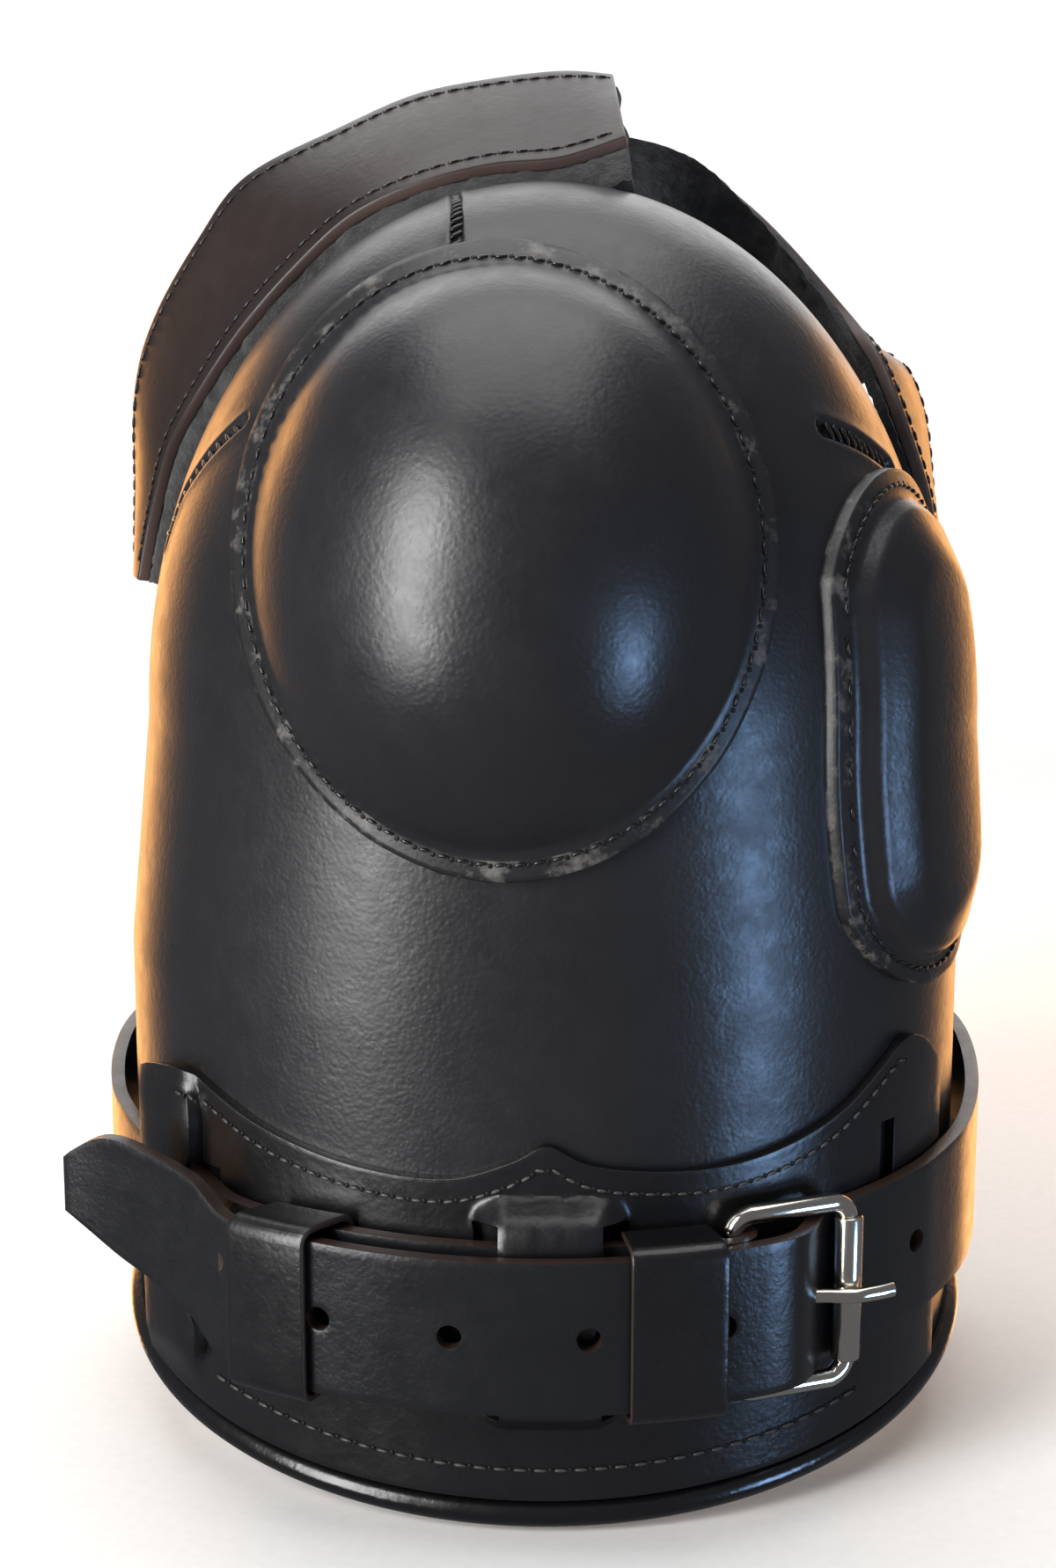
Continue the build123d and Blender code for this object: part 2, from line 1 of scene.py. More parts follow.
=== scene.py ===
"""A strap-on leather knee guard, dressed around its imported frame.

Sizes and places are in millimetres while a shape is worked on, and make_piece turns them to metres.
+Z runs up the leg, the front faces -Y, and the origin is on the leg's axis at the knee joint.
"""

from math import cos, hypot, pi, radians, sin, sqrt

import bmesh
import bpy
from mathutils import Euler, Matrix, Vector, noise
from mathutils.geometry import interpolate_bezier


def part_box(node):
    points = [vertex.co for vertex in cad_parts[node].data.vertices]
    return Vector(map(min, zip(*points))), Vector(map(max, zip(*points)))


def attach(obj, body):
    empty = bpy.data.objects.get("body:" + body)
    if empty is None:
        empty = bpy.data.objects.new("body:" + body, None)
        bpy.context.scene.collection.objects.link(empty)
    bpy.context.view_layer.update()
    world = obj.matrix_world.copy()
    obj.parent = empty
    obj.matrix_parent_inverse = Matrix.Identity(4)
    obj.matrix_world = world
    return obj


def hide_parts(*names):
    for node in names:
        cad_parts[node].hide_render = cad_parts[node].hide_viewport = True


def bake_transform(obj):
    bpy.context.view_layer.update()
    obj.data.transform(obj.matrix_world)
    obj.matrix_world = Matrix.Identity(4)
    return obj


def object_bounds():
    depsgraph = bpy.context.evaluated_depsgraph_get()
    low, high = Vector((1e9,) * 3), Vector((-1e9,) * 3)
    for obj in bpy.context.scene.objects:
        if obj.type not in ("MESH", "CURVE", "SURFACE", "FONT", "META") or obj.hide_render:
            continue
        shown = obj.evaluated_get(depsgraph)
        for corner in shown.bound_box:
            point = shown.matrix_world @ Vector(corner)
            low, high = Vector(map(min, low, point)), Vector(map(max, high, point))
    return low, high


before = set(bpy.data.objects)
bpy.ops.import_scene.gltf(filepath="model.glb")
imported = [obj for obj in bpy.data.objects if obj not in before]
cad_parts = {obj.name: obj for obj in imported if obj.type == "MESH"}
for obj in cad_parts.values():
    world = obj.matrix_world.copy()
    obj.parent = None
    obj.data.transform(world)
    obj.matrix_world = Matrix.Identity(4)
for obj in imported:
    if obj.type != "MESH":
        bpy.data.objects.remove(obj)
cad_low, cad_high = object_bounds()

# ==== Outer shell ====================================================================================
# One piece of 3 mm harness leather, soaked and pulled over a former until it closes over the knee like
# a cap. Three darts take in the fullness at the top, and the cut rim shows the hide's paler middle.
KNEE_HALF_WIDTH = 86.0
CALF_HALF_WIDTH = 91.0
FRONT_DEPTH = 80.0
CAP_CENTRE = -50.0
CAP_HEIGHT = 112.0
CALF_TOP = -100.0
WALL_BACK = 35.0
RIM_TURN = -25.0  # height at which the side edges turn into the slanting rim
RIM_SLOPE = 33.0 / 87.0
TOE = -199.0
TOE_SLOPE = 29.0 / 115.0
LEATHER = 3.0
METRES = 0.001


def half_width(z):
    share = min(1.0, max(0.0, (CAP_CENTRE - z) / (CAP_CENTRE - CALF_TOP)))
    return KNEE_HALF_WIDTH + share * (CALF_HALF_WIDTH - KNEE_HALF_WIDTH)


def lower_edge(y):
    return TOE + (y + FRONT_DEPTH) * TOE_SLOPE


def smooth_step(low, high, value):
    share = min(1.0, max(0.0, (value - low) / (high - low)))
    return share * share * (3 - 2 * share)


def front_at(x, z, offset=0.0):
    """A point on the front of the body, some way outside its surface, and the surface's normal there."""
    wide, deep, high = half_width(z) + offset, FRONT_DEPTH + offset, CAP_HEIGHT + offset
    up = max(0.0, z - CAP_CENTRE)
    depth = deep * sqrt(max(0.0004, 1 - (x / wide) ** 2 - (up / high) ** 2))
    return Vector((x, -depth, z)), Vector((x / wide**2, -depth / deep**2, up / high**2)).normalized()


def add_patch(made, columns, rows, place):
    """Adds a grid, with each corner put where place(u, v) says, u and v running from 0 to 1."""
    grid = bmesh.ops.create_grid(made, x_segments=columns, y_segments=rows, size=0.5)
    for corner in grid["verts"]:
        corner.co = place(corner.co.x + 0.5, corner.co.y + 0.5)


def body_mesh(offset, columns=150):
    """The moulded body as one surface: calf, cap over the knee, and the two straight side walls."""
    made = bmesh.new()
    deep, high = FRONT_DEPTH + offset, CAP_HEIGHT + offset
    calf_rows, cap_rows, back_rows = 80, 76, 22

    def over_the_front(u, v):
        turn = (2 * u - 1) * pi / 2
        row = v * (calf_rows + cap_rows + back_rows)
        if row <= calf_rows:
            toe = lower_edge(-deep * cos(turn))
            z = toe + (CAP_CENTRE - toe) * row / calf_rows
            wide = half_width(z) + offset
            return Vector((wide * sin(turn), -deep * cos(turn), z))
        wide = KNEE_HALF_WIDTH + offset
        climb = min(1.0, (row - calf_rows) / cap_rows) * pi / 2
        z = CAP_CENTRE + high * cos(turn) * sin(climb)
        y = -deep * cos(turn) * cos(climb)
        rim_y = WALL_BACK - max(0.0, z - RIM_TURN) * RIM_SLOPE
        y += max(0.0, row - calf_rows - cap_rows) / back_rows * rim_y
        return Vector((wide * sin(turn), y, z))

    add_patch(made, columns, calf_rows + cap_rows + back_rows, over_the_front)
    for side in (-1, 1):

        def up_the_wall(u, v, side=side):
            y = WALL_BACK * (u if side > 0 else 1 - u)
            toe = lower_edge(y)
            z = toe + (CAP_CENTRE - toe) * v
            return Vector((side * (half_width(z) + offset), y, z))

        add_patch(made, back_rows, calf_rows, up_the_wall)
    bmesh.ops.remove_doubles(made, verts=made.verts, dist=0.02)
    return made


def make_piece(name, made, finishes):
    """Turns a shape in millimetres into a smooth piece of the model, with its finishes in order."""
    bmesh.ops.scale(made, vec=(METRES,) * 3, verts=made.verts)
    for face in made.faces:
        face.smooth = True
    mesh = bpy.data.meshes.new(name)
    made.to_mesh(mesh)
    made.free()
    for finish in finishes:
        mesh.materials.append(finish)
    piece = bpy.data.objects.new(name, mesh)
    bpy.context.scene.collection.objects.link(piece)
    return piece


def thicken(piece, thickness, side=-1.0, rounding=0.5):
    """Gives a surface its leather's thickness, with a softly rounded cut edge in the second finish."""
    solid = piece.modifiers.new("thickness", "SOLIDIFY")
    solid.thickness = thickness * METRES
    solid.offset = side
    solid.material_offset_rim = len(piece.data.materials) - 1
    edge = piece.modifiers.new("rounding", "BEVEL")
    edge.width = rounding * METRES
    edge.segments = 3
    edge.limit_method = "ANGLE"
    edge.angle_limit = radians(50)
    return piece


def linear(code):
    """An sRGB hex colour as the linear colour that the shader takes."""
    parts = [int(code[i : i + 2], 16) / 255 for i in (1, 3, 5)]
    return [c / 12.92 if c <= 0.04045 else ((c + 0.055) / 1.055) ** 2.4 for c in parts] + [1.0]


def add_node(tree, kind, inputs=(), **settings):
    """Adds a shader node with its settings; an input is a value or another node's output."""
    made = tree.nodes.new("ShaderNode" + kind)
    for key, value in settings.items():
        setattr(made, key, value)
    for key, value in dict(inputs).items():
        if isinstance(value, bpy.types.NodeSocket):
            tree.links.new(value, made.inputs[key])
        else:
            made.inputs[key].default_value = value
    return made


def new_finish(name, **shader):
    """A material with one shader, and the coordinates that its patterns are laid out in."""
    finish = bpy.data.materials.new(name)
    finish.use_nodes = True
    tree = finish.node_tree
    tree.nodes.clear()
    surface = add_node(tree, "BsdfPrincipled", {k.replace("_", " "): v for k, v in shader.items()})
    add_node(tree, "OutputMaterial", {"Surface": surface.outputs[0]})
    place = add_node(tree, "TexCoord").outputs["Object"]
    return finish, tree, surface, place


def dress_leather(name, dark, light, gloss, grain=0.9, grain_depth=0.06, crease=0.25, fleck=None):
    """Wet-moulded or strap leather: dye that varies, a pebbled grain, faint creases and uneven gloss."""
    finish, tree, surface, place = new_finish(name, IOR=1.5, Coat_Weight=0.25, Coat_Roughness=0.3)
    cloud = add_node(tree, "TexNoise", {"Vector": place, "Scale": 28.0, "Detail": 5.0})
    tone = add_node(
        tree, "MixRGB", {"Fac": cloud.outputs[0], "Color1": linear(dark), "Color2": linear(light)}
    )
    colour = tone.outputs[0]
    scuff = add_node(tree, "TexNoise", {"Vector": place, "Scale": 160.0, "Detail": 8.0, "Roughness": 0.7})
    if fleck:
        worn = add_node(
            tree, "MapRange", {"Value": scuff.outputs[0], "From Min": 0.52, "From Max": 0.66, "To Max": 0.8}
        )
        flecked = add_node(
            tree, "MixRGB", {"Fac": worn.outputs[0], "Color1": colour, "Color2": linear(fleck)}
        )
        colour = flecked.outputs[0]
    tree.links.new(colour, surface.inputs["Base Color"])
    sheen = add_node(
        tree,
        "MapRange",
        {
            "Value": scuff.outputs[0],
            "From Min": 0.3,
            "From Max": 0.7,
            "To Min": gloss - 0.05,
            "To Max": gloss + 0.09,
        },
    )
    tree.links.new(sheen.outputs[0], surface.inputs["Roughness"])
    pebble = add_node(tree, "TexVoronoi", {"Vector": place, "Scale": 1000 / grain}, feature="SMOOTH_F1")
    pores = add_node(tree, "TexNoise", {"Vector": place, "Scale": 500 / grain, "Detail": 6.0})
    folds = add_node(tree, "TexNoise", {"Vector": place, "Scale": 60.0, "Detail": 7.0, "Roughness": 0.65})
    grainy = add_node(
        tree,
        "Bump",
        {"Height": pebble.outputs["Distance"], "Strength": 0.5, "Distance": grain_depth * METRES},
        invert=True,
    )
    porous = add_node(
        tree,
        "Bump",
        {"Height": pores.outputs[0], "Strength": 0.5, "Distance": 0.12 * METRES, "Normal": grainy.outputs[0]},
    )
    creased = add_node(
        tree,
        "Bump",
        {
            "Height": folds.outputs[0],
            "Strength": 0.6,
            "Distance": crease * METRES,
            "Normal": porous.outputs[0],
        },
    )
    tree.links.new(creased.outputs[0], surface.inputs["Normal"])
    return finish


# Drum-dyed harness leather, waxed and buffed: near black, a soft half gloss and a fine pebble grain.
shell_leather = dress_leather("harness_leather_black", "#121213", "#1f1f22", 0.36, grain_depth=0.1)
# The cut through the same hide: the dye stops short, so a warm, rough brown-grey line is left.
cut_edge = dress_leather("cut_leather_edge", "#3a2c28", "#5f4c46", 0.6, grain=0.6, crease=0.1)

LIP_AT = 1.6  # the raised lip's distance from a dart's middle, in half widths
LIP_SHARE = 0.22  # of the dart's depth
BELL = 2.7183  # the base of the bell curves that shape the hollow and its lip
DARTS = [  # each runs over the surface from the rim, and is sewn shut: points, depth and half width
    ([(-19.0, 6.0, 59.0), (-18.5, -12.0, 57.8), (-18.2, -24.0, 54.5), (-18.0, -33.0, 49.5)], 2.2, 1.0),
    ([(55.3, -40.4, 14.3), (62.3, -33.5, 11.2), (71.0, -22.7, 4.6)], 2.6, 1.6),
    ([(-61.3, -31.4, 14.9), (-69.1, -24.1, 7.5), (-75.7, -15.8, -1.8), (-81.0, -13.0, -13.6)], 1.4, 1.2),
]


def near_dart(point, line):
    """How far a point is from a dart's line."""
    gaps = []
    for a, b in zip(line, line[1:]):
        a, b = Vector(a), Vector(b)
        share = min(1.0, max(0.0, (point - a).dot(b - a) / (b - a).length_squared))
        gaps.append((a + (b - a) * share - point).length)
    return min(gaps)


shell = body_mesh(0.0)
for line, depth, half in DARTS:
    for _ in range(2):
        middles = [((e.verts[0].co + e.verts[1].co) / 2, e) for e in shell.edges]
        round_dart = [e for middle, e in middles if near_dart(middle, line) < 2.6 * half]
        bmesh.ops.subdivide_edges(shell, edges=round_dart, cuts=1, use_grid_fill=True)
shell.normal_update()
dips = []
for corner in shell.verts:
    for line, depth, half in DARTS:
        gap = near_dart(corner.co, line) / half
        if gap < 4:
            lip = LIP_SHARE * depth * (gap / LIP_AT) ** 2 * BELL ** (1 - (gap / LIP_AT) ** 2)
            dips.append((corner, corner.normal * (lip - depth * BELL ** (-gap * gap))))
for corner, shift in dips:
    corner.co += shift
outer_shell = thicken(make_piece("moulded_shell", shell, [shell_leather, cut_edge]), LEATHER)
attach(outer_shell, "guard")
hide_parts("outer_shell")

# ==== Padding and felt lining ========================================================================
# An 8 mm sheet of closed-cell foam lies behind the leather, and 2 mm wool felt covers it on the leg's
# side. Both are cut to the shell's outline and held by the sewing of the bindings and the piping.
FOAM = 8.0
FELT = 2.0


def dress_pile(name, dark, light, thread, depth):
    """Felt or brushed loop: no gloss, a soft sheen of loose fibre, and a matted, uneven nap."""
    finish, tree, surface, place = new_finish(
        name, Roughness=0.95, Sheen_Weight=0.35, Sheen_Roughness=0.5, Specular_IOR_Level=0.15
    )
    nap = add_node(
        tree, "TexNoise", {"Vector": place, "Scale": 1000 / thread, "Detail": 8.0, "Roughness": 0.8}
    )
    mat = add_node(tree, "TexNoise", {"Vector": place, "Scale": 220.0, "Detail": 4.0})
    both = add_node(tree, "Math", {0: nap.outputs[0], 1: mat.outputs[0]}, operation="MULTIPLY")
    spread = add_node(tree, "MapRange", {"Value": both.outputs[0], "From Min": 0.12, "From Max": 0.42})
    tone = add_node(
        tree, "MixRGB", {"Fac": spread.outputs[0], "Color1": linear(dark), "Color2": linear(light)}
    )
    tree.links.new(tone.outputs[0], surface.inputs["Base Color"])
    rough = add_node(
        tree, "Bump", {"Height": both.outputs[0], "Strength": 1.0, "Distance": depth * METRES}
    )
    tree.links.new(rough.outputs[0], surface.inputs["Normal"])
    return finish


# Wool felt, pressed rather than woven: matt black with a grey bloom of loose fibre.
black_felt = dress_pile("pressed_wool_felt_black", "#050505", "#1c1c1e", 1.6, 0.8)
# Closed-cell foam, skived: dark grey and dead matt, with the cut cells just showing.
grey_foam = dress_pile("closed_cell_foam_grey", "#1b1b1c", "#38383a", 1.0, 0.3)

foam = thicken(make_piece("foam_sheet", body_mesh(-LEATHER - 0.05), [grey_foam]), FOAM - 0.1, rounding=0.8)
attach(foam, "guard")
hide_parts("foam_padding")
felt = thicken(make_piece("felt_sheet", body_mesh(-LEATHER - FOAM), [black_felt]), FELT, rounding=0.6)
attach(felt, "guard")
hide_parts("felt_lining")

# ==== Edge piping and side bindings ==================================================================
# A rolled cord covered in thin glazed leather is sewn round the lower edge. The two rear edges are
# bound with folded strips of the same leather, whipped over with waxed thread.
PIPING_RADIUS = 2.9
BINDING_LAP = 4.0
# Glazed calf leather drawn tight over a cord: the glossiest leather here, with fine cross wrinkles.
glazed_leather = dress_leather("glazed_calf_black", "#070708", "#101012", 0.2, grain=1.4, crease=0.5)


def tube(name, points, radius, finish, closed=False, sides=5):
    """A round cord or wire along points, as a mesh."""
    line = bpy.data.curves.new(name, "CURVE")
    line.dimensions = "3D"
    line.bevel_depth = radius * METRES
    line.bevel_resolution = sides
    line.use_fill_caps = not closed
    strand = line.splines.new("POLY")
    strand.points.add(len(points) - 1)
    for knot, point in zip(strand.points, points):
        knot.co = (*(Vector(point) * METRES), 1)
    strand.use_cyclic_u = closed
    holder = bpy.data.objects.new(name, line)
    mesh = bpy.data.meshes.new_from_object(holder)
    bpy.data.objects.remove(holder)
    made = bmesh.new()
    made.from_mesh(mesh)
    bmesh.ops.remove_doubles(made, verts=made.verts, dist=1e-6)
    bmesh.ops.recalc_face_normals(made, faces=made.faces)
    bmesh.ops.scale(made, vec=(1 / METRES,) * 3, verts=made.verts)
    return make_piece(name, made, [finish])


def round_the_calf(turn, offset, drop=0.0):
    """A point below the lower edge, by quarter turns from the front; past one it runs back along a wall."""
    angle = max(-1.0, min(1.0, turn)) * pi / 2
    y = -(FRONT_DEPTH + offset) * cos(angle) + max(0.0, abs(turn) - 1) * 100
    return Vector(((CALF_HALF_WIDTH + offset) * sin(angle), y, lower_edge(y) - drop))


turns = [i / 100 for i in range(-135, 136)]
piping_path = [round_the_calf(t, 0.2, PIPING_RADIUS - 0.1) for t in turns]
piping = tube("edge_piping_roll", piping_path, PIPING_RADIUS, glazed_leather)
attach(piping, "guard")
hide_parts("edge_piping")

# Waxed linen thread: black, with the wax's small hard glints.
waxed_thread = dress_leather("waxed_linen_thread_black", "#08080a", "#1d1c1c", 0.28, grain=0.5, crease=0.3)
# Painted shade for a stitch hole or slit: a near-black pit laid on the leather where the hole's shadow falls,
# since no light comes back out of it.
painted_hole_shade = dress_leather("stitch_hole_shadow", "#010101", "#030303", 0.9, grain=0.8, crease=0.05)


def sew(name, seams, thickness, finish, holes=False, lean=0.0):
    """A row of stitches: seams gives each one's middle, run and outward normal, and its length."""
    made = bmesh.new()
    for middle, run, normal, length in seams:
        run = (run - normal * run.dot(normal)).normalized()
        side = normal.cross(run)
        run = (run * cos(radians(lean)) + side * sin(radians(lean))).normalized()
        side = normal.cross(run)
        turned = Matrix((run, side, normal)).transposed().to_4x4()
        shape = Matrix.Diagonal((length / 2, thickness / 2, thickness / 2, 1))
        lift = Matrix.Translation(middle + normal * thickness * 0.2)
        bmesh.ops.create_uvsphere(made, u_segments=8, v_segments=5, radius=1.0, matrix=lift @ turned @ shape)
        # Beside each stitch, a flat near-black pit of painted shade stands for the stitch hole.
        if holes:
            gap = Matrix.Translation(middle + run * (length / 2 + holes / 2) + normal * 0.02)
            pit = Matrix.Diagonal((0.55, 0.55, 0.16, 1))
            hole_shade_pit = bmesh.ops.create_uvsphere(
                made, u_segments=8, v_segments=4, radius=1.0, matrix=gap @ turned @ pit
            )
            for corner in hole_shade_pit["verts"]:
                for face in corner.link_faces:
                    face.material_index = 1
    return make_piece(name, made, [finish, painted_hole_shade])


for side, word in ((-1, "left"), (1, "right")):

    def round_the_edge(u, v, side=side):
        """The strip's section starts on the leather, turns round the cut edges and ends on the felt."""
        z_top = RIM_TURN - 4.5
        outer, inner, back = 1.0, -14.0, WALL_BACK + 2.4
        z = lower_edge(WALL_BACK) + 0.2 + (z_top - lower_edge(WALL_BACK)) * v
        path = [(0.3, WALL_BACK - BINDING_LAP), (outer, WALL_BACK - BINDING_LAP + 1), (outer, back - 1.4)]
        path += [(outer - 0.5, back - 0.4), (outer - 1.6, back), (inner + 1.6, back)]
        path += [(inner + 0.5, back - 0.4), (inner, back - 1.4), (inner, WALL_BACK - BINDING_LAP)]
        step = u * (len(path) - 1) if side > 0 else (1 - u) * (len(path) - 1)
        k = min(int(step), len(path) - 2)
        (o0, y0), (o1, y1) = path[k], path[k + 1]
        share = step - k
        puff = 0.25 * sin(z * 2.1) * (1 if 1 < step < 7 else 0)
        offset = o0 + (o1 - o0) * share
        return Vector((side * (half_width(z) + offset), y0 + (y1 - y0) * share + puff * 0.5, z))

    strip = bmesh.new()
    add_patch(strip, 32, 150, round_the_edge)
    binding = thicken(make_piece(f"binding_strip_{word}", strip, [glazed_leather]), 1.0, rounding=0.2)
    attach(binding, "guard")
    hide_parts(f"side_binding_{word}")
    whipping = []
    z = lower_edge(WALL_BACK) + 4
    while z < RIM_TURN - 7:
        out = Vector((side, 0, 0))
        at = Vector((side * (half_width(z) + 1.15), WALL_BACK - 0.8, z))
        whipping.append((at, Vector((0, 1, 0.25)), out, 5.6))
        z += 3.4
    whipped = sew(f"binding_thread_{word}", whipping, 1.2, waxed_thread)
    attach(whipped, "guard")

# ==== Dart sewing ====================================================================================
# Each dart is drawn shut edge to edge with thick twisted thread, in short stitches across the gap.


def smooth_line(points, steps):
    """A smooth line through points, with a number of steps from each to the next."""
    points = [Vector(p) for p in points]
    line = []
    for i in range(len(points) - 1):
        before, after = points[max(0, i - 1)], points[min(len(points) - 1, i + 2)]
        a, b = points[i], points[i + 1]
        line += interpolate_bezier(a, a + (b - before) / 6, b - (after - a) / 6, b, steps + 1)[:-1]
    return line + [points[-1]]


for (line, depth, half), word, pitch in zip(DARTS, ("top", "right", "left"), (3.0, 2.6, 3.4)):
    track = smooth_line(line, 30)
    seams, walked = [], 0.0
    for here, ahead in zip(track, track[1:]):
        walked += (ahead - here).length
        out = Vector((here.x / KNEE_HALF_WIDTH**2, min(here.y, 0) / FRONT_DEPTH**2,
                      max(0.0, here.z - CAP_CENTRE) / CAP_HEIGHT**2)).normalized()
        if walked > pitch:
            walked -= pitch
            across = (ahead - here).normalized().cross(out) + (ahead - here).normalized() * 0.5
            seams.append((here - out * 0.5, across, out, 2.6 * half + 1.0))
    dart_thread = sew(f"{word}_dart_thread", seams, 1.1, waxed_thread)
    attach(dart_thread, "guard")

# ==== Knee dome ======================================================================================
# A round of 2.5 mm leather moulded into a deep bowl over a foam core. Its flat flange is sewn to the
# shell through holes pricked along the foot of the bowl, and its trimmed margin is scuffed and pale.
COVER = 2.5
DOME_X, DOME_Z = -9.0, -8.5
DOME_WIDE, DOME_TALL = 54.0, 60.0
BOWL_AT = Vector((-6.7, -37.5, -17.3))
BOWL_SHAPE = (54.5, 60.9, 64.9)
BOWL_LEAN = Euler((radians(-15.7), 0, 0)).to_matrix()
# The same leather, stretched tight when wet, so the grain is flatter and the shine a little stronger.
moulded_leather = dress_leather(
    "wet_moulded_leather_black", "#121214", "#1f1f22", 0.34, grain=1.0, grain_depth=0.1
)
# The trimmed flange: the finish has cracked off in flakes and left the pale grey fibre.
worn_flange = dress_leather("worn_flange_leather", "#101011", "#1e1e20", 0.42, crease=0.6, fleck="#6a6662")


def bowl_front(x, z):
    """How far forward the bowl's own surface lies at a place, or None beside it."""
    back = BOWL_LEAN.transposed()
    start = back @ Vector((x - BOWL_AT.x, 0, z - BOWL_AT.z))
    along = back @ Vector((0, -1, 0))
    start, along = (Vector([c / s for c, s in zip(v, BOWL_SHAPE)]) for v in (start, along))
    a, b, c = along.dot(along), 2 * start.dot(along), start.dot(start) - 1
    inside = b * b - 4 * a * c
    return None if inside < 0 else -BOWL_AT.y + (-b + sqrt(inside)) / (2 * a)


def on_dome(angle, share):
    """A point of the dome's cover by its angle from the top and its share of the way to the edge."""
    x = DOME_X + DOME_WIDE * share * sin(angle)
    z = DOME_Z + DOME_TALL * share * cos(angle)
    flat, _ = front_at(x, z, COVER)
    bowl = bowl_front(x, z)
    if bowl is None:
        return flat
    soft = 0.9  # how softly the bowl meets the flange
    gap = bowl + flat.y
    blend = max(0.0, soft - abs(gap)) ** 2 / (4 * soft)
    return Vector((x, -max(bowl, -flat.y) - blend, z))


def dome_cover(u, v):
    angle = 2 * pi * u
    rings = v * 64
    if rings <= 60:
        return on_dome(angle, rings / 60)
    edge = on_dome(angle, 1.0)
    _, normal = front_at(edge.x, edge.z, COVER)
    out = Vector((sin(angle), 0, cos(angle)))
    drop = (rings - 60) / 4
    ragged = 0.25 * noise.noise(edge * 0.35)
    return edge - normal * (COVER + 0.4) * drop**1.5 + out * (0.7 * sin(drop * pi / 2) + ragged)


dome = bmesh.new()
add_patch(dome, 200, 64, dome_cover)
bmesh.ops.remove_doubles(dome, verts=dome.verts, dist=0.02)
for face in dome.faces:
    middle = face.calc_center_median()
    share = hypot((middle.x - DOME_X) / DOME_WIDE, (middle.z - DOME_Z) / DOME_TALL)
    face.material_index = 1 if share > 0.925 else 0
if sum(f.normal.y * f.calc_area() for f in dome.faces) > 0:
    bmesh.ops.reverse_faces(dome, faces=dome.faces)
knee_dome = make_piece("knee_dome_leather", dome, [moulded_leather, worn_flange])
thickness = knee_dome.modifiers.new("thickness", "SOLIDIFY")
thickness.thickness = 1.2 * METRES
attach(knee_dome, "guard")
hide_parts("knee_dome_cover", "knee_dome_foam")

ring = []
for i in range(86):
    angle, ahead = 2 * pi * i / 86, 2 * pi * (i + 0.5) / 86
    at, near = on_dome(angle, 0.945), on_dome(ahead, 0.945)
    ring.append((at, near - at, front_at(at.x, at.z)[1], 2.7))
dome_thread = sew("dome_thread", ring, 0.8, waxed_thread, holes=1.3, lean=8)
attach(dome_thread, "guard")
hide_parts("dome_stitching")

# ==== Side pad =======================================================================================
# A long round-ended pad on the outer side of the knee: leather moulded over foam and sewn down through
# a narrow flange, as the dome is.
PAD_AT = Vector((75.8, -35.1, -48.0))
PAD_ANGLE = 33.0
PAD_ALONG = Vector((sin(radians(PAD_ANGLE)), cos(radians(PAD_ANGLE)), 0))
PAD_OUT = Vector((cos(radians(PAD_ANGLE)), -sin(radians(PAD_ANGLE)), 0))
PAD_HALF_WIDTH = 33.0
PAD_STRAIGHT = 40.0
PAD_RISE = 9.0


def under_pad(a, b, offset):
    """The body's surface, some way out, behind a point of the pad's own flat outline."""
    near, far = 40.0, -40.0
    for _ in range(24):
        middle = (near + far) / 2
        p = PAD_AT + PAD_ALONG * a + Vector((0, 0, b)) + PAD_OUT * middle
        up = max(0.0, p.z - CAP_CENTRE) / (CAP_HEIGHT + offset)
        inside = (p.x / (half_width(p.z) + offset)) ** 2 + (min(p.y, 0) / (FRONT_DEPTH + offset)) ** 2 + up**2
        near, far = (near, middle) if inside < 1 else (middle, far)
    return p


def pad_outline(turn, inset):
    """A point on the pad's round-ended outline, moved in by an inset, in the pad's flat plane."""
    radius = PAD_HALF_WIDTH - inset
    end = PAD_STRAIGHT / 2 * max(-1.0, min(1.0, 2.6 * cos(turn)))
    return radius * sin(turn), end + radius * cos(turn)


def pad_cover(u, v):
    turn = 2 * pi * u
    rings = v * 34
    inset = PAD_HALF_WIDTH * (1 - min(1.0, rings / 30)) ** 1.15
    a, b = pad_outline(turn, inset)
    shoulder = smooth_step(5.2, 8.2, inset) * 0.45 + smooth_step(5.5, 19.0, inset) * 0.55
    drop = max(0.0, rings - 30) / 4
    offset = COVER + (PAD_RISE - COVER) * shoulder - (COVER + 0.3) * drop**1.5
    return under_pad(a * (1 + 0.015 * sin(drop * pi / 2)), b, offset)


pad = bmesh.new()
add_patch(pad, 150, 34, pad_cover)
bmesh.ops.remove_doubles(pad, verts=pad.verts, dist=0.02)
for face in pad.faces:
    middle = face.calc_center_median() - PAD_AT
    a, b = middle.dot(PAD_ALONG), max(0.0, abs(middle.z) - PAD_STRAIGHT / 2)
    face.material_index = 1 if hypot(a, b) > PAD_HALF_WIDTH - 4.4 else 0
if sum(f.normal.dot(PAD_OUT) * f.calc_area() for f in pad.faces) < 0:
    bmesh.ops.reverse_faces(pad, faces=pad.faces)
side_pad = make_piece("side_pad_leather", pad, [moulded_leather, worn_flange])
thickness = side_pad.modifiers.new("thickness", "SOLIDIFY")
thickness.thickness = 1.2 * METRES
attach(side_pad, "guard")
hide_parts("side_pad_cover", "side_pad_foam")

ring = []
for i in range(62):
    turn, ahead = 2 * pi * i / 62, 2 * pi * (i + 0.5) / 62
    at, near = under_pad(*pad_outline(turn, 3.2), COVER), under_pad(*pad_outline(ahead, 3.2), COVER)
    normal = Vector((at.x / CALF_HALF_WIDTH**2, min(at.y, 0) / FRONT_DEPTH**2, 0)).normalized()
    ring.append((at, near - at, normal, 3.0))
pad_thread = sew("side_pad_thread", ring, 0.8, waxed_thread, holes=1.3, lean=8)
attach(pad_thread, "guard")
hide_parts("side_pad_stitching")

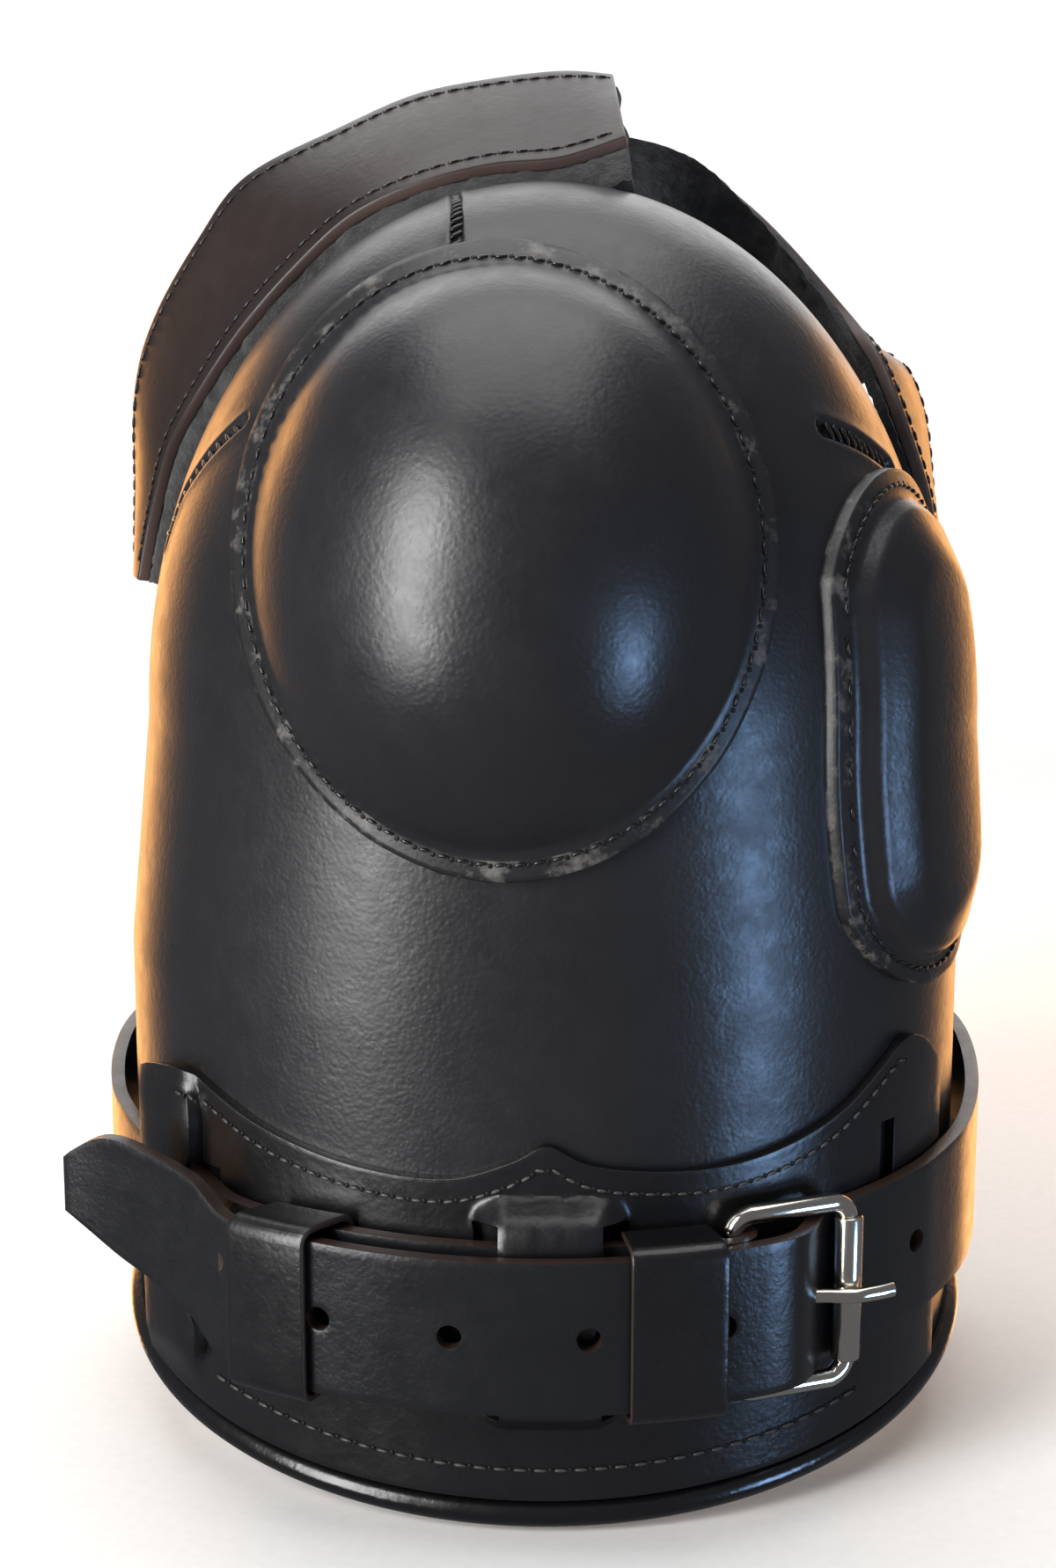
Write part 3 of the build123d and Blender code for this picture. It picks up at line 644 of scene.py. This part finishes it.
# ==== Lower band =====================================================================================
# A 2.5 mm overlay sewn over the calf. Its top edge is cut in a wave with a small peak, and it is slit
# so that the strap can pass under a raised bridge in the middle and under a rolled tab at the left.
BAND_CREST = [(-88, -128), (-84, -121), (-77, -117.5), (-71.5, -118), (-57.5, -124.5), (-39, -129)]
BAND_CREST += [(-20, -130), (-7, -126), (0, -122.5), (7, -126), (16, -128), (32, -129), (46, -127)]
BAND_CREST += [(59, -122), (69, -114), (73.5, -110.5), (78, -113), (82, -120)]
BRIDGE = (-9.0, 10.5)
BRIDGE_RISE = 8.0
SLOT_WIDTH = 5.0
TAB_RISE = 3.7
# The same hide as the shell, thinner and left unmoulded: darker, shinier and more creased.
band_leather = dress_leather("band_leather_black", "#0a0a0b", "#141416", 0.3, grain=1.1, crease=0.4)
crest_line = smooth_line([(x, 0, z) for x, z in BAND_CREST], 8)


def height_on(line, x):
    """The height of a smooth line at a place across the front."""
    for a, b in zip(line, line[1:]):
        if a.x <= x <= b.x:
            return a.z + (b.z - a.z) * (x - a.x) / (b.x - a.x)
    return line[0].z if x < line[0].x else line[-1].z


def crest(x):
    return height_on(crest_line, x)


def band_lift(x, z):
    """How far the overlay stands off the shell, over the strap that runs behind it."""
    over = smooth_step(-183, -174, z) * smooth_step(-133, -140, z)
    bridge = smooth_step(BRIDGE[0] - 5.5, BRIDGE[0] + 1.0, x)
    bridge *= smooth_step(BRIDGE[1] + 5.5, BRIDGE[1] - 1.0, x)
    pucker = 0.5 * sin(x * 1.3) * smooth_step(-143, -135, z) * smooth_step(-128, -134, z)
    tab = smooth_step(-70.5, -74.5, x) * smooth_step(-188, -176, z) * (0.5 + 0.5 * smooth_step(-118, -128, z))
    return over * bridge * (BRIDGE_RISE + pucker) + TAB_RISE * tab + 0.05


def slot_ends(x):
    """The lowest and highest point that a slot at this place would have."""
    right, left = smooth_step(44, 66, x), smooth_step(-44, -60, x)
    return -178.0 + 10.0 * right + 7.0 * left, -138.5 + 11.5 * right + 2.0 * left


COLUMNS = [-84.0, -73.8, -65.7, BRIDGE[0] - SLOT_WIDTH, BRIDGE[0], BRIDGE[1], BRIDGE[1] + SLOT_WIDTH]
COLUMNS += [67.6, 70.6, 82.0]
SLOTTED = (1, 3, 5, 7)
band = bmesh.new()
for column, (left, right) in enumerate(zip(COLUMNS, COLUMNS[1:])):
    for row in range(3):
        if row == 1 and column in SLOTTED:
            continue

        def overlay(u, v, left=left, right=right, row=row):
            x = left + (right - left) * u
            floor = lower_edge(front_at(x, TOE)[0].y) + 0.6
            low, high = slot_ends(x)
            ends = ((floor, low), (low, high), (high, crest(x)))[row]
            z = ends[0] + (ends[1] - ends[0]) * v
            return front_at(x, z, band_lift(x, z))[0]

        across = max(2, round((right - left) / 1.6))
        add_patch(band, across, (14, 22, 10)[row], overlay)
bmesh.ops.remove_doubles(band, verts=band.verts, dist=0.05)
lower_band = make_piece("overlay_band", band, [band_leather, glazed_leather])
thicken(lower_band, COVER - 0.2, side=1.0, rounding=0.6)
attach(lower_band, "guard")
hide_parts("lower_band")


def band_seam(height, start, end, pitch, length):
    """Stitches along the band at the height that a function gives, flush with its face."""
    seam = []
    x = start
    while x < end:
        z, ahead = height(x), height(x + pitch)
        at, normal = front_at(x, z, band_lift(x, z) + COVER - 0.1)
        near, _ = front_at(x + pitch, ahead, band_lift(x + pitch, ahead) + COVER - 0.1)
        run = near - at
        seam.append((at, run, normal, length))
        x += pitch * abs(run.x) / run.length
    return seam


TOE_ROW = 7.5  # from the lower edge to its stitching, at the front
TOE_ROW_CLIMB = 2.6  # how much further off it is at the sides
# The same thread where it is rubbed and dusty, so it reads as a broken grey line.
dusty_thread = dress_leather("rubbed_thread_grey", "#1c1b1b", "#4a4744", 0.5, grain=0.5, crease=0.3)
crest_row = band_seam(lambda x: crest(x) - 4.6, -76, 74, 3.3, 2.3)
crest_thread = sew("band_crest_thread", crest_row, 0.75, dusty_thread, holes=0.9)
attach(crest_thread, "guard")
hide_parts("band_top_stitching")


def toe_seam(x):
    return lower_edge(front_at(x, TOE)[0].y) + TOE_ROW + (x / CALF_HALF_WIDTH) ** 2 * TOE_ROW_CLIMB


toe_thread = sew("band_toe_thread", band_seam(toe_seam, -68, 66, 4.1, 3.0), 0.8, dusty_thread, holes=1.0)
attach(toe_thread, "guard")
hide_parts("band_bottom_stitching")

# ==== Calf strap =====================================================================================
# One strap of 3 mm bridle leather, 32 mm wide, round the back of the calf. One end is folded round the
# buckle's heel bar, and the other carries the holes and ends in a trimmed point that bends away.
STRAP = 3.0
STRAP_HALF = 16.0
CHAPE, BILLET, UNDER, BEHIND = 6.1, 13.1, 4.3, 1.8
BILLET_HOLES = (-25.5, -10.5, 4.5)  # degrees round the front
PRONG_HOLE, SPARE_HOLE = 19.5, 53.5
HEEL_ANGLE, HEEL_OFFSET = 22.2, 6.6
# Bridle leather, waxed on both faces: close grain and a deep, slightly blue black.
strap_leather = dress_leather("bridle_leather_black", "#0c0d0f", "#17181b", 0.3, grain=0.8, crease=0.3)
# Strap edges, bevelled and burnished: the dye is thin there, so the brown of the hide comes through.
burnished_edge = dress_leather("burnished_strap_edge", "#1d130f", "#3c2a21", 0.45, grain=0.7, crease=0.2)


def on_ring(angle, offset):
    """A point round the calf in plan, by degrees from the front."""
    wide, deep = CALF_HALF_WIDTH + offset, FRONT_DEPTH + offset
    return Vector((wide * sin(radians(angle)), -deep * cos(radians(angle)), 0))


def strap_middle(y):
    return -158.0 + (y + 92.0) * 0.08


def ribbon(name, path, step, outline=None, holes=()):
    """A standing strap along a plan path. outline gives its lowest and highest point at a place."""
    line = smooth_line(path, 12)
    lengths = [0.0]
    for a, b in zip(line, line[1:]):
        lengths.append(lengths[-1] + (b - a).length)
    count = round(lengths[-1] / step)

    def place(u, v):
        want = u * lengths[-1]
        k = min(next((i for i, s in enumerate(lengths) if s > want), len(line) - 1), len(line) - 1) - 1
        share = (want - lengths[k]) / (lengths[k + 1] - lengths[k])
        at = line[k].lerp(line[k + 1], min(1.0, share))
        middle = strap_middle(at.y)
        low, high = outline(at.x, middle) if outline else (middle - STRAP_HALF, middle + STRAP_HALF)
        return Vector((at.x, at.y, low + (high - low) * v))

    made = bmesh.new()
    add_patch(made, count, 16, place)
    piece = thicken(make_piece(name, made, [strap_leather, burnished_edge]), STRAP, 0.0, 0.7)
    if holes:
        punch = bmesh.new()
        for at, out in holes:
            turned = out.to_track_quat("Z", "Y").to_matrix().to_4x4()
            bmesh.ops.create_cone(punch, cap_ends=True, segments=28, radius1=2.5, radius2=2.5, depth=9,
                                  matrix=Matrix.Translation(at) @ turned)
        cutter = make_piece(name + "_punch", punch, [burnished_edge])
        cut = piece.modifiers.new("holes", "BOOLEAN")
        cut.object = cutter
        cut.use_self = True
        piece.modifiers.move(2, 1)
        bpy.context.view_layer.update()
        seen = piece.evaluated_get(bpy.context.evaluated_depsgraph_get())
        finished = bpy.data.meshes.new_from_object(seen)
        piece.modifiers.clear()
        piece.data = finished
        bpy.data.objects.remove(cutter)
    return piece


def punched(angles, offset):
    """Where holes go through the strap, and which way they face."""
    found = []
    for angle in angles:
        at = on_ring(angle, offset)
        wide, deep = CALF_HALF_WIDTH + offset, FRONT_DEPTH + offset
        out = Vector((at.x / wide**2, at.y / deep**2, 0)).normalized()
        found.append((at + Vector((0, 0, strap_middle(at.y))), out))
    return found


HAND_OVER = 15.0  # degrees: the strap is worked in two lengths, which meet under the right keeper
loop_path = [on_ring(v, BILLET) for v in (HAND_OVER, 19, 23, 26)]
loop_path += [on_ring(*p) for p in ((29, 12.4), (31.5, 9.8), (34, 6.6), (36.5, 4.8))]
loop_path += [on_ring(v, UNDER) for v in (39, 43, 48, 53, 58)]
loop_path += [(89.5, -29, 0), (94.8, -10, 0), (97.3, 12, 0), (96.5, 32, 0), (91, 49, 0), (79, 60, 0)]
loop_path += [(60, 65, 0), (35, 67, 0), (0, 67.5, 0), (-35, 67, 0), (-60, 65, 0), (-79, 60, 0)]
loop_path += [(-91, 49, 0), (-96.5, 32, 0), (-97.3, 12, 0), (-94.8, -8, 0), (-90.5, -21, 0)]
loop_path += [on_ring(v, BEHIND) for v in (-65, -60, -55)]
loop_path += [on_ring(*p) for p in ((-52, 1.85), (-49.5, 2.3), (-47, 3.3), (-44.5, 4.6), (-41.5, 5.8))]
loop_path += [on_ring(v, CHAPE) for v in (-38, -33, -28, -23, -18, -13, -8, -3, 2, 7)]
loop_path += [on_ring(*p) for p in ((12, 6.6), (16, 8.2), (19, 9.7))]
heel = on_ring(HEEL_ANGLE, HEEL_OFFSET)
for degrees_round in (0, 40, 80, 120, 160):
    outward = on_ring(HEEL_ANGLE, HEEL_OFFSET + 1) - heel
    sideways = Vector((-outward.y, outward.x, 0))
    swing = radians(degrees_round)
    loop_path.append(heel + (outward * cos(swing) + sideways * sin(swing)).normalized() * 3.7)
loop_holes = punched([PRONG_HOLE], BILLET) + punched([SPARE_HOLE], UNDER)
strap_loop = ribbon("strap_round_the_calf", loop_path, 1.9, holes=loop_holes)
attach(strap_loop, "guard")
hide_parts("calf_strap")

TIP_TOP = [(-102.5, -138.5), (-97, -133), (-88, -129.5), (-70, -134.5), (-63, -139.0)]
TIP_LOW = [(-102.5, -145), (-89, -154), (-79, -159), (-70, -165), (-63, -171.0)]
tip_top = smooth_line([(x, 0, z) for x, z in TIP_TOP], 6)
tip_low = smooth_line([(x, 0, z) for x, z in TIP_LOW], 6)


def tip_outline(x, middle):
    """Parallel edges along the billet, which rise and then close to the trimmed point."""
    share = smooth_step(-62, -72, x)
    low = (middle - STRAP_HALF) * (1 - share) + height_on(tip_low, x) * share
    high = (middle + STRAP_HALF) * (1 - share) + height_on(tip_top, x) * share
    return low, high


billet_path = [on_ring(*p) for p in ((-60, 24.0), (-56, 19.5), (-50, 15.6), (-44, 13.6), (-38.6, 13.1))]
billet_path += [on_ring(v, BILLET) for v in (-33, -28, -23, -18, -13, -8, -3, 2, 7, 11, HAND_OVER)]
tip_hole = Vector((-69.5, -77.0, -150.0))
billet = ribbon("strap_billet", billet_path, 1.7, tip_outline,
                punched(BILLET_HOLES, BILLET) + [(tip_hole, Vector((-0.5, -0.85, 0)).normalized())])
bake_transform(billet)
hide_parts("billet_tip")

# ==== Keepers ========================================================================================
# Two loops of 1.5 mm leather round both layers of strap: one slides, and the other is sewn in beside
# the buckle. Each is a flat strip, blocked square over the strap with rounded corners.
KEEPER = 1.5
KEEPER_BACK, KEEPER_FRONT = 2.8, 15.7
KEEPER_HALF = STRAP_HALF + 1.3 + KEEPER
# Strap leather split thin and burnished on its edges: dark and close grained, with a waxed shine.
keeper_leather = dress_leather("keeper_leather_black", "#0a0a0b", "#151517", 0.27, grain=1.0, crease=0.3)


def keeper(name, start, end, flare):
    """The strip's middle line goes once round the strap's section, and its width is along the strap."""
    middle_y = on_ring((start + end) / 2, BILLET).y
    height = strap_middle(middle_y)
    half = KEEPER_HALF - KEEPER / 2
    back, front, corner = KEEPER_BACK + KEEPER / 2, KEEPER_FRONT + KEEPER / 2, 3.0
    section = []
    for o, z, first in ((front - corner, half - corner, 90), (front - corner, corner - half, 0),
                        (back + corner, corner - half, -90), (back + corner, half - corner, -180)):
        for turn in range(0, 91, 15):
            swing = radians(first - turn)
            section.append((o + corner * cos(swing), z + corner * sin(swing)))

    def place(u, v):
        step = (u * len(section)) % len(section)
        k = int(step)
        (o0, z0), (o1, z1) = section[k], section[(k + 1) % len(section)]
        o, z = o0 + (o1 - o0) * (step - k), z0 + (z1 - z0) * (step - k)
        top = smooth_step(0, half, z)
        at = on_ring(start + (end - start) * v + flare * top * (front - o) / (front - back), o)
        return at + Vector((0, 0, height + z))

    made = bmesh.new()
    add_patch(made, 4 * len(section), 12, place)
    bmesh.ops.remove_doubles(made, verts=made.verts, dist=0.02)
    bmesh.ops.recalc_face_normals(made, faces=made.faces)
    return thicken(make_piece(name, made, [keeper_leather, burnished_edge]), KEEPER, 0.0, 0.45)


left_keeper = keeper("sliding_keeper", -36.5, -26.5, 2.5)
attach(left_keeper, "left_keeper")
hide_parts("keeper_left")
right_keeper = keeper("sewn_keeper", 8.8, 19.4, 0.0)
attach(right_keeper, "guard")
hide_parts("keeper_right")

# ==== Roller buckle ==================================================================================
# A bent wire frame of 4 mm steel, nickel plated, with a free roller on its far bar and a prong that
# hooks round the heel bar inside the strap's fold.
WIRE = 2.0
FRAME_HALF = 19.0
ROLLER_ANGLE, ROLLER_OFFSET = 37.6, 9.2
far_bar = on_ring(ROLLER_ANGLE, ROLLER_OFFSET)
buckle_along = (far_bar - heel).normalized()
buckle_out = Vector((buckle_along.y, -buckle_along.x, 0))
buckle_length = (far_bar - heel).length
buckle_height = strap_middle((heel.y + far_bar.y) / 2)


def dress_nickel(name, roughness, drawn):
    """Nickel plate over polished steel: warm white, near mirror, with faint drawing and wipe marks."""
    finish, tree, surface, place = new_finish(name, Metallic=1.0)
    surface.inputs["Base Color"].default_value = linear("#d9d4ca")
    smear = add_node(tree, "TexNoise", {"Vector": place, "Scale": 300.0, "Detail": 5.0})
    shine = add_node(
        tree, "MapRange", {"Value": smear.outputs[0], "To Min": roughness, "To Max": roughness + 0.12}
    )
    tree.links.new(shine.outputs[0], surface.inputs["Roughness"])
    marks = add_node(tree, "TexNoise", {"Vector": place, "Scale": 1000 / drawn, "Detail": 4.0})
    dented = add_node(tree, "Bump", {"Height": marks.outputs[0], "Strength": 0.25, "Distance": 0.05 * METRES})
    tree.links.new(dented.outputs[0], surface.inputs["Normal"])
    return finish


# The frame and prong keep their polish, and the roller is dulled by the strap that runs over it.
bright_nickel = dress_nickel("nickel_plate_bright", 0.08, 2.5)
worn_nickel = dress_nickel("nickel_plate_roller", 0.14, 1.2)


def on_buckle(along, out, up):
    return heel + buckle_along * along + buckle_out * out + Vector((0, 0, buckle_height + up))


loop = []
for along, up, first in ((buckle_length, FRAME_HALF, 0), (0, FRAME_HALF, 90), (0, -FRAME_HALF, 180),
                         (buckle_length, -FRAME_HALF, 270)):
    radius = 4.5
    centre = (along - radius if along > 0 else radius, up - radius if up > 0 else up + radius)
    for turn in range(0, 91, 10):
        swing = radians(first + turn)
        loop.append((centre[0] + radius * cos(swing), centre[1] + radius * sin(swing)))
bow = 1.6  # the side bars bow outwards over the strap
wire = [on_buckle(x, bow * sin(pi * x / buckle_length), z) for x, z in loop]
buckle_frame = tube("buckle_wire", wire, WIRE, bright_nickel, closed=True, sides=8)
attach(buckle_frame, "buckle")
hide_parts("buckle_frame")

rolled = bmesh.new()
ROLLER_PROFILE = [(0.0, 2.15), (0.0, 2.75), (0.4, 3.0), (30.6, 3.0), (31.0, 2.75), (31.0, 2.15)]
for along, radius in ROLLER_PROFILE:
    rolled.verts.new(on_buckle(buckle_length, radius, along - 15.5))
rolled.verts.ensure_lookup_table()
profile = [rolled.edges.new((rolled.verts[i], rolled.verts[(i + 1) % len(ROLLER_PROFILE)]))
           for i in range(len(ROLLER_PROFILE))]
bmesh.ops.spin(rolled, geom=rolled.verts[:] + profile, cent=on_buckle(buckle_length, 0, 0), axis=(0, 0, 1),
               angle=2 * pi, steps=48, use_merge=True)
bmesh.ops.remove_doubles(rolled, verts=rolled.verts, dist=0.01)
bmesh.ops.recalc_face_normals(rolled, faces=rolled.faces)
roller = make_piece("buckle_roller_tube", rolled, [worn_nickel])
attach(roller, "roller")
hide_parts("buckle_roller")

prong_path = smooth_line([on_buckle(x, o, 0) for x, o in
                          ((0.6, 3.2), (4, 1.9), (15, 1.2), (20, 2.6), (25, 4.7), (30, 4.9), (34, 4.5))], 8)
prong = tube("buckle_prong_wire", prong_path, 1.6, bright_nickel, sides=8)
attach(prong, "prong")
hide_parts("buckle_prong")

# ==== Thigh wings ====================================================================================
# Two long leather strips rise from the rear edges and cross over the front of the thigh. Their inner
# faces carry brushed loop, and hook tape under the left tip holds them together.
WING_LEATHER = 3.0
LEFT_WING = [
    ((-89.6, 31, -28), (-91.5, 42, -28)), ((-86.6, 30, -14), (-91.5, 45, -8)),
    ((-81.8, 26, 2), (-91.2, 45, 14)), ((-74.8, 21, 14), (-86.5, 45, 30)),
    ((-64.5, 16, 28.5), (-76.0, 45, 47.5)), ((-52.2, 12, 42), (-65.5, 45, 60.5)),
    ((-40.0, 9, 52.6), (-45.0, 45, 70.5)), ((-25.6, 7, 59.2), (-28.5, 45, 77.5)),
    ((-11.0, 7, 62.8), (-13.0, 45, 80.7)), ((3.7, 7, 64.2), (4.0, 45, 82.6)),
    ((17.5, 8, 68.5), (15.5, 44, 81.7)),
]
RIGHT_WING = [
    ((87.6, 30, -27), (88.3, 45, -27.5)), ((83.2, 23, -8), (87.0, 47, -10)),
    ((77.2, 19, 8), (84.5, 48, 10)), ((72.0, 27, 22), (77.5, 47, 19)),
    ((66.0, 40, 33), (61.0, 49, 12)), ((55.0, 45, 46.5), (46.0, 51, 22)),
    ((45.5, 46, 56), (34.0, 50, 32)), ((34.0, 46, 65), (25.0, 40, 42)),
    ((21.0, 46, 68.5), (17.5, 26, 51.0)), ((6.5, 46, 69.5), (5.0, 14, 54.0)),
]
# Oil-tanned skirting leather, near black: its warm brown tint is a painted reflection, standing in for the
# warm brown sheen that the wings catch from their surroundings.
wing_leather = dress_leather("skirting_leather_painted_brown_sheen", "#150f0d", "#2a1d19", 0.4, grain=1.1, crease=0.3)
# Brushed nylon loop: a dense, dead-black pile with stray grey fibre.
loop_pile = dress_pile("brushed_loop_black", "#020202", "#161617", 1.2, 1.4)


def wing(
    name, stations, flip, middle, thickness, finishes, crown, rounding, front=0.0, sag=0.0, nap=0.0
):
    """One layer of a wing, from its front edge to its back one, its middle some way off their surface."""
    fronts = smooth_line([s[0] for s in stations], 10)
    backs = smooth_line([s[1] for s in stations], 10)
    last = len(fronts) - 1

    def place(u, v):
        i = min(last, round(v * last))
        f, b = fronts[i], backs[i]
        before, after = max(0, i - 1), min(last, i + 1)
        travel = fronts[after] + backs[after] - fronts[before] - backs[before]
        out = travel.cross(b - f).normalized() * (-1 if flip else 1)
        share = u * (1 + front) - front
        drop = sag * max(0.0, -share / max(front, 0.01))
        at = f.lerp(b, share) + out * (middle + crown * sin(pi * u) - drop)
        return at + out * nap * noise.noise(at * 0.9)

    made = bmesh.new()
    add_patch(made, 18, last, place)
    return thicken(make_piece(name, made, finishes), thickness, 0.0, rounding)


for word, stations, flip, lining, front in (
    ("left", LEFT_WING, False, 5.0, 0.2),
    ("right", RIGHT_WING, True, 2.6, 0.0),
):
    leather = wing(f"{word}_wing_hide", stations, flip, WING_LEATHER / 2, WING_LEATHER,
                   [wing_leather, cut_edge], 0.8, 0.7)
    pile = wing(f"{word}_wing_pile", stations, flip, -lining / 2, lining,
                [loop_pile], 0.4, 1.1, front, 3.0, 0.8)
    for piece, node, finish in ((leather, "leather", "wing_leather"), (pile, "lining", "lining")):
        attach(piece, f"{word}_wing")
        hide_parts(f"{word}_wing_{node}")


def wing_row(stations, flip, share, first, last, pitch):
    """Stitches along a wing, at a share of the way from its front edge to its back one."""
    fronts = smooth_line([s[0] for s in stations], 40)
    backs = smooth_line([s[1] for s in stations], 40)
    row, walked = [], 0.0
    for i in range(int(first * len(fronts)) + 1, int(last * len(fronts)) - 1):
        here, ahead = fronts[i].lerp(backs[i], share), fronts[i + 1].lerp(backs[i + 1], share)
        walked += (ahead - here).length
        if walked > pitch:
            walked -= pitch
            out = (ahead - here).cross(backs[i] - fronts[i]).normalized() * (-1 if flip else 1)
            face = here + out * (WING_LEATHER + 0.8 * sin(pi * share))
            row.append((face, ahead - here, out, 0.72 * pitch))
    return row


for word, stations, flip, rows in (
    ("left", LEFT_WING, False, (0.09, 0.91)),
    ("right", RIGHT_WING, True, (0.1, 0.9)),
):
    seams = [stitch for share in rows for stitch in wing_row(stations, flip, share, 0.02, 0.985, 3.6)]
    thread = sew(f"{word}_wing_thread", seams, 0.7, waxed_thread, holes=0.7)
    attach(thread, f"{word}_wing")

# ==== Hook tape ======================================================================================
# The hook half of the closure: a nylon tape sewn under the left wing's tip, set with rows of stiff
# little hooks that bite into the right wing's brushed loop.
HOOK_ROWS, HOOK_COLUMNS = 5, 15
# Woven nylon: a flat, matt black ground that shows a fine, even roughness between the hooks.
woven_tape = dress_pile("woven_nylon_tape_black", "#060606", "#161618", 1.0, 0.3)
tape_low, tape_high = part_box("hook_patch")
tape = bmesh.new()


def under_the_tip(u, v):
    """The tape follows the wing's own slope from its front edge to its back one."""
    x = (tape_low.x + (tape_high.x - tape_low.x) * u) / METRES
    front = Vector((x, tape_low.y / METRES + 1, tape_low.z / METRES + 2.0))
    back = Vector((x, tape_high.y / METRES - 1, tape_high.z / METRES - 1.0))
    return front.lerp(back, v)


add_patch(tape, 4, 8, under_the_tip)
for row in range(HOOK_ROWS):
    for column in range(HOOK_COLUMNS):
        root = under_the_tip((row + 0.5) / HOOK_ROWS, (column + 0.5) / HOOK_COLUMNS)
        bmesh.ops.create_cone(tape, segments=5, radius1=0.35, radius2=0.2, depth=1.0, cap_ends=True,
                              matrix=Matrix.Translation(root - Vector((0, 0, 0.5))))
hook_tape = make_piece("hook_tape", tape, [woven_tape])
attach(hook_tape, "left_wing")
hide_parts("hook_patch")

# ==== Studio =========================================================================================
# A pale sweep of paper under and behind the guard, broad soft lights, and the camera a little above.
FLOOR = cad_low.z - 0.0004
sweep = bmesh.new()


def paper(u, v):
    reach = 2400 * v
    bend = max(0.0, reach - 1400)
    return Vector((-3000 + 6000 * u, -1600 + reach * 1.6 - bend * 0.9, FLOOR / METRES + 0.9 * bend**2 / 700))


add_patch(sweep, 2, 60, paper)
# Uncoated paper: an even, matt white that throws back a soft light.
white_paper, tree, surface, place = new_finish("matt_paper_white", Roughness=0.9, Specular_IOR_Level=0.1)
fibre = add_node(tree, "TexNoise", {"Vector": place, "Scale": 400.0})
pale = add_node(
    tree, "MixRGB", {"Fac": fibre.outputs[0], "Color1": linear("#f2f2f0"), "Color2": linear("#fafaf8")}
)
tree.links.new(pale.outputs[0], surface.inputs["Base Color"])
backdrop = make_piece("paper_sweep", sweep, [white_paper])
backdrop.visible_glossy = False


def soft_light(name, at, aim, width, height, power, colour="#ffffff"):
    """A flat rectangular lamp, aimed at a point."""
    lamp = bpy.data.lights.new(name, "AREA")
    lamp.shape = "RECTANGLE"
    lamp.size = width
    lamp.size_y = height
    lamp.energy = power
    lamp.color = linear(colour)[:3]
    holder = bpy.data.objects.new(name, lamp)
    holder.location = at
    holder.rotation_euler = (Vector(aim) - Vector(at)).to_track_quat("-Z", "Y").to_euler()
    bpy.context.scene.collection.objects.link(holder)


soft_light("window_left", (-0.92, -0.92, 0.24), (0, 0, -0.06), 0.50, 1.40, 30)
soft_light("window_right", (0.95, -0.72, -0.34), (0, 0, -0.10), 0.30, 0.45, 9, "#9cc8ff")
soft_light("warm_wall_left", (-0.37, 0.50, -0.15), (-0.09, -0.02, -0.10), 0.22, 0.60, 2.2, "#ffb468")
soft_light("warm_wall_right", (0.37, 0.50, -0.15), (0.09, -0.02, -0.10), 0.22, 0.60, 1.8, "#ffb468")
soft_light("ceiling", (0.0, 0.1, 1.3), (0, 0, 0), 1.4, 1.4, 14)
soft_light("back_wall", (0.0, 1.3, 0.6), (0, 0, -0.05), 1.4, 1.2, 10)

# The air is white to the camera and a dim grey to everything else, so it does not flood the leather.
world = bpy.data.worlds.new("studio")
bpy.context.scene.world = world
world.use_nodes = True
sky = world.node_tree
sky.nodes.clear()
eye = add_node(sky, "LightPath").outputs["Is Camera Ray"]
glow = add_node(sky, "MixRGB", {"Fac": eye, "Color1": linear("#6c6c70"), "Color2": (1.0, 1.0, 1.0, 1.0)})
air = add_node(sky, "Background", {"Color": glow.outputs[0], "Strength": 1.0})
add_node(sky, "OutputWorld", {"Surface": air.outputs[0]})

CAMERA_AT = (-0.0037, -0.620, 0.075)
CAMERA_PITCH = 77.0
camera = bpy.data.cameras.new("camera")
camera.sensor_width = 36.0
camera.lens = 66.3
viewer = bpy.data.objects.new("camera", camera)
viewer.location = CAMERA_AT
viewer.rotation_euler = (radians(CAMERA_PITCH), 0, 0)
bpy.context.scene.collection.objects.link(viewer)
bpy.context.scene.camera = viewer
bpy.context.scene.view_settings.view_transform = "Standard"
